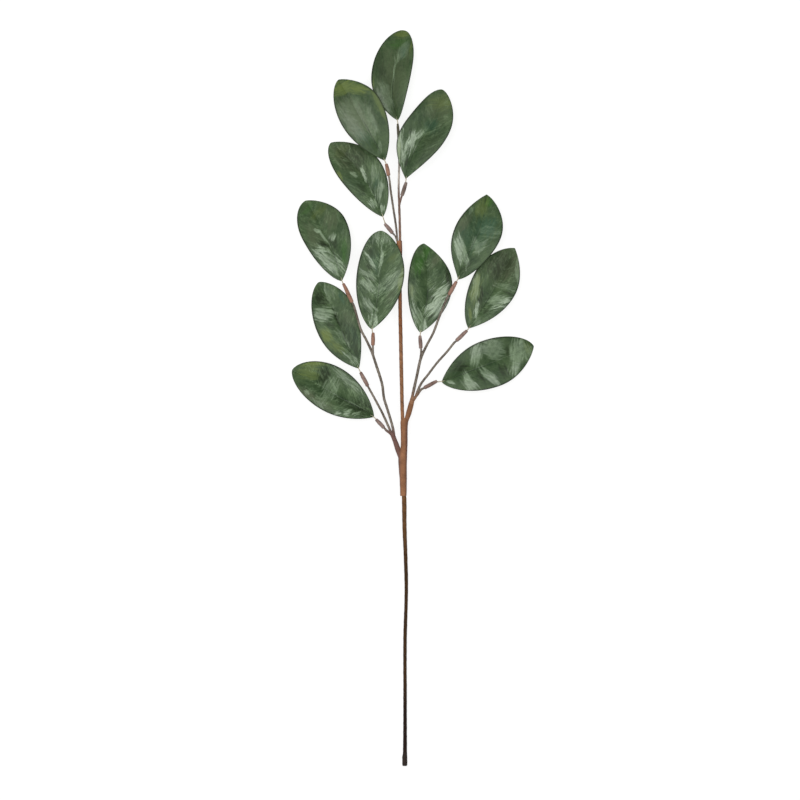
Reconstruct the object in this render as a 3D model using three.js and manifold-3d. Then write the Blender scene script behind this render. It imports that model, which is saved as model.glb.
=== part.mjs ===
// A magnolia leaf branch: twelve leathery leaves on a wrapped stem, with two side branches and a top twig
// taped to it. It lies on a flat surface with the faces of its leaves up.
// Millimetres, +Z up. Places are measured from the cut end: x to the right, y along the stem, z above
// the surface. At the end the whole branch is shifted so that its origin is under the middle of its box.
import * as THREE from 'three';
import { mergeVertices } from 'three/addons/utils/BufferGeometryUtils.js';
import Module from 'manifold-3d';

const wasm = await Module();
wasm.setup();

// Driving dimensions
const GAP = 0.3; // between pieces that touch
const TAPE = 0.45; // thickness of the wraps

const KNOB_RADIUS = 2.6; // taped cut end, which lies on the surface
const STEM_CLIMB = 17; // how far the stem rises towards the leaves
const CLIMB_START = 70;
const CLIMB_END = 560;

const STEM_SIDES = 8;
const WRAP_SIDES = 12;
const SLEEVE_SIDES = 8;

const PEG_RADIUS = 1; // end of a twig, inside its sleeve
const PEG_LENGTH = 5;
const PEG_LEAD = 4; // straight run of twig before the sleeve
const PEG_ROOM = 1; // free length of the sleeve's wide bore past the twig's end
const SLEEVE_MOUTH_RADIUS = 1.85; // where the twig goes in
const SLEEVE_RADIUS = 2; // at its swell
const SWELL = [0.33, 0.6]; // where the swell starts and ends along the sleeve
const SLEEVE_TIP_RADIUS = 1.45; // where the leaf's stalk comes out

const STALK_RADIUS = 0.75; // leaf stalk
const STALK_DEPTH = 5; // inside the sleeve
const BLADE = 0.8; // thickness of a leaf's blade
const THINNEST = 0.6; // thickness left where a blade lies flat on the surface
const GROOVE = 0.25; // sunken midrib on the face
const RIB = 1; // raised midrib on the back
const RIB_TAPER = 0.8; // share of its depth that it loses by the tip
const WAVE = 0.7; // height of the ripples along a leaf's edge
const RIPPLES = 1.5; // of them from base to tip
const SETTLE = 1.4; // how far a resting blade is pressed flat on the surface

const TIP_SHARE = 0.02; // of a leaf's half-width, left at the very tip
const STATIONS = [0.03, 0.08, 0.16, 0.26, 0.37, 0.48, 0.59, 0.69, 0.78, 0.86, 0.92, 0.965, 0.99, 1];
const COLUMNS = [-1, -0.58, -0.14, 0, 0.14, 0.58, 1]; // left edge to right edge
const MIDRIB = 3; // the column at the midrib

const COLOURS = {
  leaf: { color: 0x3e5437, roughness: 0.38, metalness: 0 },
  stem: { color: 0x5c4635, roughness: 0.75, metalness: 0 },
  twig: { color: 0x5f4a3f, roughness: 0.75, metalness: 0 },
  sleeve: { color: 0x8a5a42, roughness: 0.7, metalness: 0 },
  wrap: { color: 0x8c6142, roughness: 0.8, metalness: 0 },
};

// Main stem: x, y and radius, from the taped cut end up to the sleeve of the top leaf
const MAIN_STEM = [
  [0, 0, 2.2], [0, 1.5, KNOB_RADIUS], [0, 9, KNOB_RADIUS], [0.2, 14, 2.05], [0.3, 40, 1.9], [0.3, 75, 1.8],
  [0.3, 133.5, 1.8], [1.6, 186.5, 1.8], [1, 218, 1.9], [-0.2, 250, 2.15], [-0.6, 281.5, 2.35],
  [-1.5, 307, 1.85], [-1.5, 345, 1.8], [-2.7, 377, 1.85], [-3.9, 433, 1.95], [-5, 493, 1.9], [-5, 549.5, 1.4],
  [-5.5, 583, 1.15], [-6.5, 609.5, 1.05], [-6, 636, 1],
];

// Each leaf: its sleeve from twig end to leaf end, its base and tip in plan, the sideways bow and sway of
// its midrib (plus is to the right of the line from base to tip), its two sides and its heights. A side has
// its half-width, where along the leaf it is widest, and how it runs out to the base and to the tip: 0.5 is
// as round as an ellipse, 1 is straighter. A leaf with no tip height bends down until it rests on the
// surface. Girth is the share of the usual thickness that a slimmer sleeve has.
const LEAVES = {
  top: {
    sleeve: [[-6.5, 664.5, 19.2], [-7.5, 679.5, 19.2]], base: [-7.5, 683, 19.2], tip: [-3, 780.5],
    girth: 0.75,
    bow: -6, sway: -2.5, arch: 5, rise: [5, 8],
    left: [24.5, 0.6, 0.75, 0.65], right: [18, 0.47, 0.85, 0.4],
  },
  top_left: {
    sleeve: [[-17, 624.5, 22], [-19.5, 637, 23]], base: [-21, 640, 23.5], tip: [-70, 726, 20],
    bow: 0.5, sway: 0, arch: 3, rise: [4, 5],
    left: [21.5, 0.55, 1, 0.65], right: [27.5, 0.6, 0.85, 0.8],
  },
  top_low: {
    sleeve: [[-12.9, 564.2, 18.2], [-21.3, 574.2, 16]], base: [-23, 581.5, 15], tip: [-78.5, 661],
    bow: 7.5, sway: 0, arch: 3, rise: [5, 1],
    left: [22, 0.58, 0.85, 0.65], right: [24, 0.55, 0.75, 0.75],
  },
  top_right: {
    sleeve: [[-3, 603.5, 21], [1.5, 617.5, 23]], base: [1, 620.5, 23.5], tip: [40, 716, 14],
    bow: 0, sway: -3.5, arch: 4, rise: [3, 5],
    left: [24.5, 0.53, 1, 0.65], right: [23, 0.48, 1.15, 0.6],
  },
  left_outer: {
    sleeve: [[-55.5, 491, 19.2], [-65, 511, 18.8]], base: [-66.5, 513.5, 18.5], tip: [-105.5, 599.5],
    bow: 4.5, sway: 0, arch: 5, rise: [4, 5],
    left: [24, 0.62, 0.75, 0.6], right: [26.5, 0.62, 0.9, 0.75],
  },
  left_inner: {
    sleeve: [[-33.7, 445.5, 19], [-33.4, 459, 19.4]], base: [-35, 462.5, 19.5], tip: [-24.5, 566.5, 21],
    bow: 3, sway: 0, arch: 3, rise: [3, 4],
    left: [24.5, 0.52, 0.75, 0.55], right: [26, 0.57, 0.85, 0.65],
  },
  left_middle: {
    sleeve: [[-39.1, 402.6, 13], [-47, 417.3, 13]], base: [-48.5, 421, 13], tip: [-91.5, 513],
    bow: 1, sway: -1.5, arch: 3, rise: [5, 1.5],
    left: [25, 0.57, 0.9, 0.7], right: [22, 0.56, 0.95, 0.65],
  },
  left_low: {
    sleeve: [[-22, 358.5, 11.5], [-30.5, 367.5, 11]], base: [-32.5, 370, 11], tip: [-119.5, 420],
    bow: 0, sway: 0, arch: 4, rise: [8, 6],
    left: [21, 0.52, 0.9, 0.65], right: [27.5, 0.55, 0.85, 0.6],
  },
  right_inner: {
    sleeve: [[17, 442.5, 17.2], [16, 456, 15.6]], base: [16.5, 459, 15], tip: [20.5, 554],
    bow: 5.5, sway: 0, arch: 2, rise: [5, 1.5],
    left: [21, 0.52, 0.8, 0.6], right: [26.5, 0.55, 0.85, 0.9],
  },
  right_upper: {
    sleeve: [[46.5, 498.7, 20.8], [54.5, 513, 21]], base: [56, 515, 21], tip: [86.5, 605.5, 9],
    bow: 4, sway: -2, arch: 5, rise: [4, 4],
    left: [25, 0.56, 1.15, 1], right: [24.5, 0.55, 0.75, 0.65],
  },
  right_outer: {
    sleeve: [[54.5, 450.5, 13.8], [66, 461.5, 13.6]], base: [67.5, 463.5, 13.5], tip: [117, 549],
    bow: 2, sway: 0, arch: 3, rise: [2, 6],
    left: [26, 0.57, 0.75, 0.75], right: [23, 0.55, 0.95, 0.95],
  },
  right_low: {
    sleeve: [[20.6, 400.7, 12.6], [34.2, 408, 11]], base: [39, 407, 10.5], tip: [137, 445],
    bow: 0, sway: 0, arch: 4, rise: [5, 5],
    left: [25, 0.5, 0.9, 0.6], right: [26.5, 0.55, 0.7, 0.85],
  },
};

const UP = new THREE.Vector3(0, 0, 1);
const { lerp, smoothstep, degToRad } = THREE.MathUtils;
const vector = ([x, y, z]) => new THREE.Vector3(x, y, z);

// Stem

const stemHeight = (y) => KNOB_RADIUS + STEM_CLIMB * smoothstep(y, CLIMB_START, CLIMB_END);

function stemAt(y) {
  const above = MAIN_STEM.findIndex((row) => row[1] >= y);
  const [x0, y0, r0] = MAIN_STEM[above - 1];
  const [x1, y1, r1] = MAIN_STEM[above];
  const share = (y - y0) / (y1 - y0);
  return { x: lerp(x0, x1, share), z: stemHeight(y), radius: lerp(r0, r1, share) };
}

// A row of a tail that lies along the stem, at an angle round it (0 is to the right, 90 on top)
function besideStem(y, degrees, radius) {
  const stem = stemAt(y);
  const reach = stem.radius + radius + GAP;
  const angle = degToRad(degrees);
  return [stem.x + reach * Math.cos(angle), y, stem.z + reach * Math.sin(angle), radius];
}

// Solids

function weld(geometry) {
  geometry.deleteAttribute('normal');
  geometry.deleteAttribute('uv');
  return mergeVertices(geometry);
}

function solidOf(geometry) {
  const vertProperties = new Float32Array(geometry.attributes.position.array);
  const triVerts = new Uint32Array(geometry.index.array);
  return new wasm.Manifold(new wasm.Mesh({ numProp: 3, vertProperties, triVerts }));
}

function geometryOf(solid) {
  const { vertProperties, triVerts } = solid.getMesh();
  const geometry = new THREE.BufferGeometry();
  geometry.setAttribute('position', new THREE.BufferAttribute(vertProperties, 3));
  geometry.setIndex(new THREE.BufferAttribute(triVerts, 1));
  return geometry;
}

const join = (solids) => solids.reduce((all, solid) => all.add(solid));
const cut = (solid, cutters) => cutters.reduce((rest, cutter) => rest.subtract(cutter), solid);

// A tapered tube through rows of x, y, z, half-width and half-height, with a flat side underneath
function tube(rows, { sides = STEM_SIDES, steps = 2, grow = 0 } = {}) {
  const spans = rows.length - 1;
  const path = new THREE.CatmullRomCurve3(rows.map(vector));
  const geometry = weld(new THREE.CylinderGeometry(1, 1, 1, sides, spans * steps, false, Math.PI / sides));
  const { position } = geometry.attributes;
  const unit = new THREE.Vector3();
  const toCorner = 1 / Math.cos(Math.PI / sides);
  for (let i = 0; i < position.count; i += 1) {
    unit.fromBufferAttribute(position, i);
    const along = unit.y + 0.5;
    const span = Math.min(Math.floor(along * spans), spans - 1);
    const share = along * spans - span;
    const [, , , wide0, high0 = wide0] = rows[span];
    const [, , , wide1, high1 = wide1] = rows[span + 1];
    const forward = path.getTangent(along);
    const side = forward.clone().cross(UP).normalize();
    const up = side.clone().cross(forward);
    const point = path.getPoint(along);
    point.addScaledVector(side, unit.x * (lerp(wide0, wide1, share) + grow) * toCorner);
    point.addScaledVector(up, unit.z * (lerp(high0, high1, share) + grow) * toCorner);
    position.setXYZ(i, point.x, point.y, point.z);
  }
  return solidOf(geometry);
}

// A twig's rows, led straight into its leaf's sleeve
function twigTo(name, rows) {
  const [from, to] = LEAVES[name].sleeve.map(vector);
  const along = to.sub(from).normalize();
  const radius = rows.at(-1)[3];
  const lead = from.clone().addScaledVector(along, -PEG_LEAD);
  const peg = from.clone().addScaledVector(along, PEG_LENGTH);
  return [...rows, [...lead, radius], [...from, PEG_RADIUS], [...peg, PEG_RADIUS]];
}

// The stems, each as a list of tubes: a stalk first, then the twigs that fork from it

const mainStem = [
  twigTo('top', MAIN_STEM.map(([x, y, radius]) => [x, y, stemHeight(y), radius])),
  twigTo('top_right', [[-6, 585, 19.2, 0.9], [-5.9, 592, 19.4, 1]]),
];

const leftStalk = [
  besideStem(292, 210, 0.5), besideStem(312, 210, 0.5), besideStem(325, 205, 0.7),
  [-6.9, 334.5, 11.3, 2], [-9.6, 342.5, 12, 2.4], [-13.8, 353.5, 13, 2.3],
];
const leftBranch = [
  leftStalk,
  twigTo('left_outer', [
    [-10.5, 345.5, 12.4, 1.3], [-12.9, 359.5, 13.4, 1.3], [-18.5, 378.5, 14, 1.3],
    [-21.9, 389.5, 14.6, 1.3], [-24, 404.5, 15.5, 1.35], [-29.8, 423.5, 16.5, 1.35],
    [-35, 439, 17.2, 1.35], [-40.8, 451.5, 18, 1.25], [-46, 461.5, 18.5, 1.15],
  ]),
  twigTo('left_middle', [
    [-11.5, 348, 12.6, 1.2], [-15.8, 356.5, 13.3, 1.2], [-19.5, 365, 13.2, 1.2],
    [-25, 376.5, 13, 1.15], [-32.5, 390.5, 13, 1.1],
  ]),
  twigTo('left_low', [[-10, 344.5, 12, 1.3], [-14.8, 352, 12.2, 1.3]]),
  twigTo('left_inner', [[-33.4, 435.5, 17, 1.1]]),
];

const rightStalk = [
  besideStem(335, -60, 0.5), besideStem(352, -45, 0.8), [1.6, 365.5, 12.4, 1.2],
  [4, 373.5, 13.4, 2], [6.8, 384, 14.6, 2.6], [9, 392, 15.3, 2.2],
];
const rightBranch = [
  rightStalk,
  twigTo('right_upper', [
    [6.5, 385.5, 14.8, 1.4], [9.6, 399, 15.9, 1.55], [12.9, 414, 17, 1.45], [17.1, 432.5, 18.2, 1.45],
    [23.1, 445.5, 19, 1.3], [30.4, 459.5, 19.8, 1.2], [35.4, 473, 20.2, 1.2],
  ]),
  twigTo('right_outer', [
    [6.5, 384, 14.6, 1.4], [11.3, 391, 14.9, 1.4], [13.6, 397.3, 14.6, 1.3], [17.4, 405.4, 14.2, 1.25],
    [24.4, 414.5, 14, 1.2], [34.6, 427.8, 13.8, 1.15], [45.3, 439.7, 13.8, 1.15],
  ]),
  twigTo('right_low', [[9, 388.5, 14.6, 1.2], [13, 393, 14, 1.2]]),
  twigTo('right_inner', [[16, 429, 18, 1.1]]),
];

const topStalk = [
  besideStem(541, 180, 0.5), besideStem(550, 180, 0.5), [-8, 558, 19.4, 0.9], [-9, 569, 19.6, 1.1],
  [-12, 589.5, 20.4, 1.1], [-15, 609.5, 21.3, 1.05],
];
const topTwig = [
  twigTo('top_left', topStalk),
  twigTo('top_low', [[-7.8, 554.5, 19.3, 0.8]]),
];

const stemSolid = (tubes, grow = 0) => join(tubes.map((rows) => tube(rows, { grow })));

// Wraps: tape wound round the stem and what is bound to it. Each row is y, the sideways and upward
// offset from the stem, half-width and half-height.

function wrapTube(rows) {
  const placed = rows.map(([y, aside, above, wide, high]) => {
    const stem = stemAt(y);
    return [stem.x + aside, y, stem.z + above, wide, high];
  });
  return tube(placed, { sides: WRAP_SIDES });
}

// The tape's turns on the foot of a branch
const collar = (rows) => tube(rows, { sides: WRAP_SIDES, grow: GAP + TAPE });

function forkWrap() {
  const turns = wrapTube([
    [286.5, -0.7, -0.3, 3.2, 2.9], [304, -0.3, -0.3, 3.7, 3], [325, -0.8, -0.4, 4.5, 3.2],
    [338, 0.7, -0.4, 3.4, 3.1], [352, 1.1, -0.5, 3.5, 3.2], [364, 1.5, -0.6, 4, 3.3],
  ]);
  const tape = join([turns, collar(leftStalk.slice(2, 4)), collar(rightStalk.slice(1, 4))]);
  return cut(tape, [mainStem, leftBranch, rightBranch].map((tubes) => stemSolid(tubes, GAP)));
}

function topWrap() {
  const tape = wrapTube([[540, -0.6, 0, 2.8, 2.4], [548, -0.7, 0, 2.9, 2.4], [556, -0.8, 0, 2.9, 2.3]]);
  return cut(tape, [mainStem, topTwig].map((tubes) => stemSolid(tubes, GAP)));
}

// Sleeves: a short tube over the end of a twig, which narrows towards the leaf's stalk

function sleeveGeometry(length, girth) {
  const pegBore = PEG_RADIUS + GAP;
  const stalkBore = STALK_RADIUS + GAP;
  const step = PEG_LENGTH + PEG_ROOM;
  const [swellStart, swellEnd] = SWELL.map((share) => share * length);
  const profile = [
    [pegBore, 0], [girth * SLEEVE_MOUTH_RADIUS, 0], [girth * SLEEVE_RADIUS, swellStart],
    [girth * SLEEVE_RADIUS, swellEnd], [girth * SLEEVE_TIP_RADIUS, length], [stalkBore, length],
    [stalkBore, step], [pegBore, step], [pegBore, 0],
  ];
  return weld(new THREE.LatheGeometry(profile.map(([r, y]) => new THREE.Vector2(r, y)), SLEEVE_SIDES));
}

function sleeveMesh(name) {
  const { sleeve, girth = 1 } = LEAVES[name];
  const [from, to] = sleeve.map(vector);
  const length = from.distanceTo(to);
  const mesh = new THREE.Mesh(sleeveGeometry(length, girth), material('sleeve'));
  mesh.position.copy(from);
  mesh.quaternion.setFromUnitVectors(new THREE.Vector3(0, 1, 0), to.sub(from).normalize());
  return mesh;
}

// Leaves: each is a loft of closed rings, from the stalk's end in the sleeve to the blade's tip. A ring
// holds the face's columns from left to right, then the back's from right to left.

// Share of a side's half-width at t, from 0 at the base to 1 at the tip
function outline(t, [, widest, toBase, toTip]) {
  const away = t < widest ? (widest - t) / widest : (t - widest) / (1 - widest);
  const share = (1 - away * away) ** (t < widest ? toBase : toTip);
  return Math.max(share, TIP_SHARE);
}

// A ring's middle line: places across the blade at t, before it bends down to the surface
function bladeRow(leaf, t, phase) {
  const { bow, sway, left, right, arch, rise } = leaf;
  const [baseX, baseY, baseHeight] = leaf.base;
  const [tipX, tipY, tipHeight = 0] = leaf.tip;
  const length = Math.hypot(tipX - baseX, tipY - baseY);
  const aheadX = (tipX - baseX) / length;
  const aheadY = (tipY - baseY) / length;
  const hump = 4 * t * (1 - t);
  const midrib = bow * hump + sway * Math.sin(2 * Math.PI * t);
  return COLUMNS.map((v) => {
    const side = v < 0 ? left : right;
    const share = outline(t, side);
    const across = midrib + v * share * side[0];
    const out = Math.abs(v);
    const crown = out * (2 - out) * rise[v < 0 ? 0 : 1] * share;
    const ripple = WAVE * out * out * share * Math.sin(2 * Math.PI * RIPPLES * t + phase + v);
    return {
      x: baseX + t * length * aheadX + across * aheadY,
      y: baseY + t * length * aheadY - across * aheadX,
      z: lerp(baseHeight, tipHeight, t) + arch * hump + crown + ripple,
    };
  });
}

const ribDepth = (t, column) => (column === MIDRIB ? RIB * (1 - RIB_TAPER * t) : 0);
const grooveDepth = (column) => (column === MIDRIB ? GROOVE : 0);

function bladeRings(leaf, phase) {
  const rows = STATIONS.map((t) => bladeRow(leaf, t, phase));
  const back = rows.map((row, i) => row.map((p, column) => p.z - BLADE / 2 - ribDepth(STATIONS[i], column)));
  const rests = leaf.tip.length === 2;
  const drops = back.flatMap((row, i) => row.map((z) => -(z + SETTLE) / STATIONS[i]));
  const drop = rests ? Math.max(...drops) : 0;
  return rows.map((row, i) => {
    const t = STATIONS[i];
    const under = row.map((p, column) => [p.x, p.y, Math.max(back[i][column] + t * drop, 0)]);
    const face = row.map((p, column) => {
      const top = p.z + t * drop + BLADE / 2 - grooveDepth(column);
      return [p.x, p.y, Math.max(top, under[column][2] + THINNEST)];
    });
    return [...face, ...under.reverse()].map(vector);
  });
}

function stalkRing(centre, ahead) {
  const side = ahead.clone().cross(UP).normalize();
  const up = side.clone().cross(ahead);
  const turn = Math.PI / COLUMNS.length;
  return Array.from({ length: 2 * COLUMNS.length }, (_, i) => {
    const angle = Math.PI - (i + 0.5) * turn;
    const point = centre.clone().addScaledVector(side, STALK_RADIUS * Math.cos(angle));
    return point.addScaledVector(up, STALK_RADIUS * Math.sin(angle));
  });
}

function stalkRings(leaf) {
  const [from, to] = leaf.sleeve.map(vector);
  const base = vector(leaf.base);
  const along = to.clone().sub(from).normalize();
  const ahead = vector([leaf.tip[0], leaf.tip[1], base.z]).sub(base).normalize();
  const inside = to.clone().addScaledVector(along, -STALK_DEPTH);
  const mouth = to.clone().addScaledVector(along, GAP);
  return [stalkRing(inside, along), stalkRing(mouth, along), stalkRing(base, ahead)];
}

function leafGeometry(leaf, phase) {
  const rings = [...stalkRings(leaf), ...bladeRings(leaf, phase)];
  const count = 2 * COLUMNS.length;
  const index = [];
  for (let k = 0; k + 1 < rings.length; k += 1) {
    for (let i = 0; i < count; i += 1) {
      const a = k * count + i;
      const b = k * count + ((i + 1) % count);
      const c = b + count;
      const d = a + count;
      // Mirrored on the two halves, and alike on the face and the back beneath it
      const leftHalf = i < MIDRIB || i >= count - 1 - MIDRIB;
      const onFace = i < COLUMNS.length;
      index.push(...(leftHalf === onFace ? [a, b, c, a, c, d] : [a, b, d, b, c, d]));
    }
  }
  const last = (rings.length - 1) * count;
  for (let i = 1; i + 1 < count; i += 1) {
    index.push(0, i + 1, i, last, last + i, last + i + 1);
  }
  const geometry = new THREE.BufferGeometry().setFromPoints(rings.flat());
  geometry.setIndex(index);
  return geometry;
}

// The branch

const materials = Object.fromEntries(
  Object.entries(COLOURS).map(([name, look]) => [name, new THREE.MeshStandardMaterial(look)]),
);

function material(name) {
  return materials[name];
}

const branch = new THREE.Group();

function place(name, mesh) {
  mesh.name = name;
  mesh.geometry.computeVertexNormals();
  branch.add(mesh);
}

const placeSolid = (name, solid, look) => place(name, new THREE.Mesh(geometryOf(solid), material(look)));

placeSolid('main_stem', stemSolid(mainStem), 'stem');
placeSolid('left_branch', stemSolid(leftBranch), 'twig');
placeSolid('right_branch', stemSolid(rightBranch), 'twig');
placeSolid('top_twig', stemSolid(topTwig), 'twig');
placeSolid('fork_wrap', forkWrap(), 'wrap');
placeSolid('top_wrap', topWrap(), 'wrap');
Object.entries(LEAVES).forEach(([name, leaf], i) => {
  place(`sleeve_${name}`, sleeveMesh(name));
  place(`leaf_${name}`, new THREE.Mesh(leafGeometry(leaf, i), material('leaf')));
});

const box = new THREE.Box3().setFromObject(branch);
const middle = box.getCenter(new THREE.Vector3());
branch.position.set(-middle.x, -middle.y, -box.min.z);

export default branch;
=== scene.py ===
import math

import bpy
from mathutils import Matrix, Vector


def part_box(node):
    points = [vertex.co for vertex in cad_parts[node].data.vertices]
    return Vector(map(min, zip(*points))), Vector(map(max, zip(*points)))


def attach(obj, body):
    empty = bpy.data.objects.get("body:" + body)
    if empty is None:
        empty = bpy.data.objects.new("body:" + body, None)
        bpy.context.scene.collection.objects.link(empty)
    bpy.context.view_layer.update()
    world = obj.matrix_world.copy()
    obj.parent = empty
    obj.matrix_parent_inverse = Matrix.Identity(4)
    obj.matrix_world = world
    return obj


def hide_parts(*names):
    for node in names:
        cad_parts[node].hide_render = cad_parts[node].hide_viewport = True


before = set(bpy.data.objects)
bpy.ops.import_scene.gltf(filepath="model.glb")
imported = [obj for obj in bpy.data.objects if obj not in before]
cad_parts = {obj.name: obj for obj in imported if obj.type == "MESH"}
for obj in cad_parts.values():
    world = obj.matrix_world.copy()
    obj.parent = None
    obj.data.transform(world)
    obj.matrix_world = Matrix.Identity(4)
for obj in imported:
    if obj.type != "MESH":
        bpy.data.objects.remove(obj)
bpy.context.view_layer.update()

# The finish of a magnolia leaf branch that lies on a surface: leathery veined leaves, rolled sleeves, twigs
# and a taped stem. Sizes are in millimetres and turned into metres where a piece is made. Places are measured
# from the stem's cut end: x to the right, y along the stem, z above the surface.

MM = 0.001

# The gap round what goes into a sleeve or a wrap, and how much wider a many-sided tube is made
GAP = 0.3
ROUNDING = 1.03

# Stem and twigs
KNOB_RADIUS = 2.6
CUT_RING = 0.1
STEM_CLIMB = 17
CLIMB_START = 70
CLIMB_END = 560
PEG_RADIUS = 1
PEG_LENGTH = 5
PEG_LEAD = 4
STEM_STEP = 0.9
STEM_SIDES = 20
TAPE = 0.45
TAPE_EDGE_THICKNESS = 0.1
COLLAR_LEAST = 1.4

# Winding of the stem, the twigs, the sleeves and the wraps
STEM_PITCH = 9
TWIG_PITCH = 5
SLEEVE_PITCH = 11
WRAP_PITCH = 12
LIP_SHARPNESS = 7
TURN_EDGE = 0.62
TURN_EDGE_SHARPNESS = 14
LUMP_STRETCH = 0.45

# Sleeves
SLEEVE_MOUTH_RADIUS = 1.85
SLEEVE_RADIUS = 2
SLEEVE_TIP_RADIUS = 1.45
SLEEVE_ROUNDED = 0.35

# Leaf blades
STALK_RADIUS = 0.75
STALK_DEPTH = 5
STALK_TAPER = 0.45
STALK_LEAD = 2
STALK_REACH = 6
STALK_SINK = 0.35
STALK_STEPS = 20
STALK_SIDES = 12
BLADE = 0.8
THINNEST = 0.6
GROOVE = 0.25
GROOVE_WIDTH = 0.8
RIB = 1
RIB_WIDTH = 1.3
RIB_TAPER = 0.8
WAVE = 0.7
RIPPLES = 1.5
SETTLE = 1.4
TIP_SHARE = 0.02

# Spots at which a resting blade is measured against the surface
STATIONS = [0.03, 0.08, 0.16, 0.26, 0.37, 0.48, 0.59, 0.69, 0.78, 0.86, 0.92, 0.965, 0.99, 1]
COLUMNS = [-1, -0.58, -0.14, 0, 0.14, 0.58, 1]

# The main stem's middle line, in rows of x, y and radius
MAIN_STEM = [
    [0, 0, 2.2], [0, 1.5, KNOB_RADIUS], [0, 9, KNOB_RADIUS], [0.2, 14, 2.05], [0.3, 40, 1.9],
    [0.3, 75, 1.8], [0.3, 133.5, 1.8], [1.6, 186.5, 1.8], [1, 218, 1.9], [-0.2, 250, 2.15],
    [-0.6, 281.5, 2.35], [-1.5, 307, 1.85], [-1.5, 345, 1.8], [-2.7, 377, 1.85], [-3.9, 433, 1.95],
    [-5, 493, 1.9], [-5, 549.5, 1.4], [-5.5, 583, 1.15], [-6.5, 609.5, 1.05], [-6, 636, 1],
]

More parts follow.
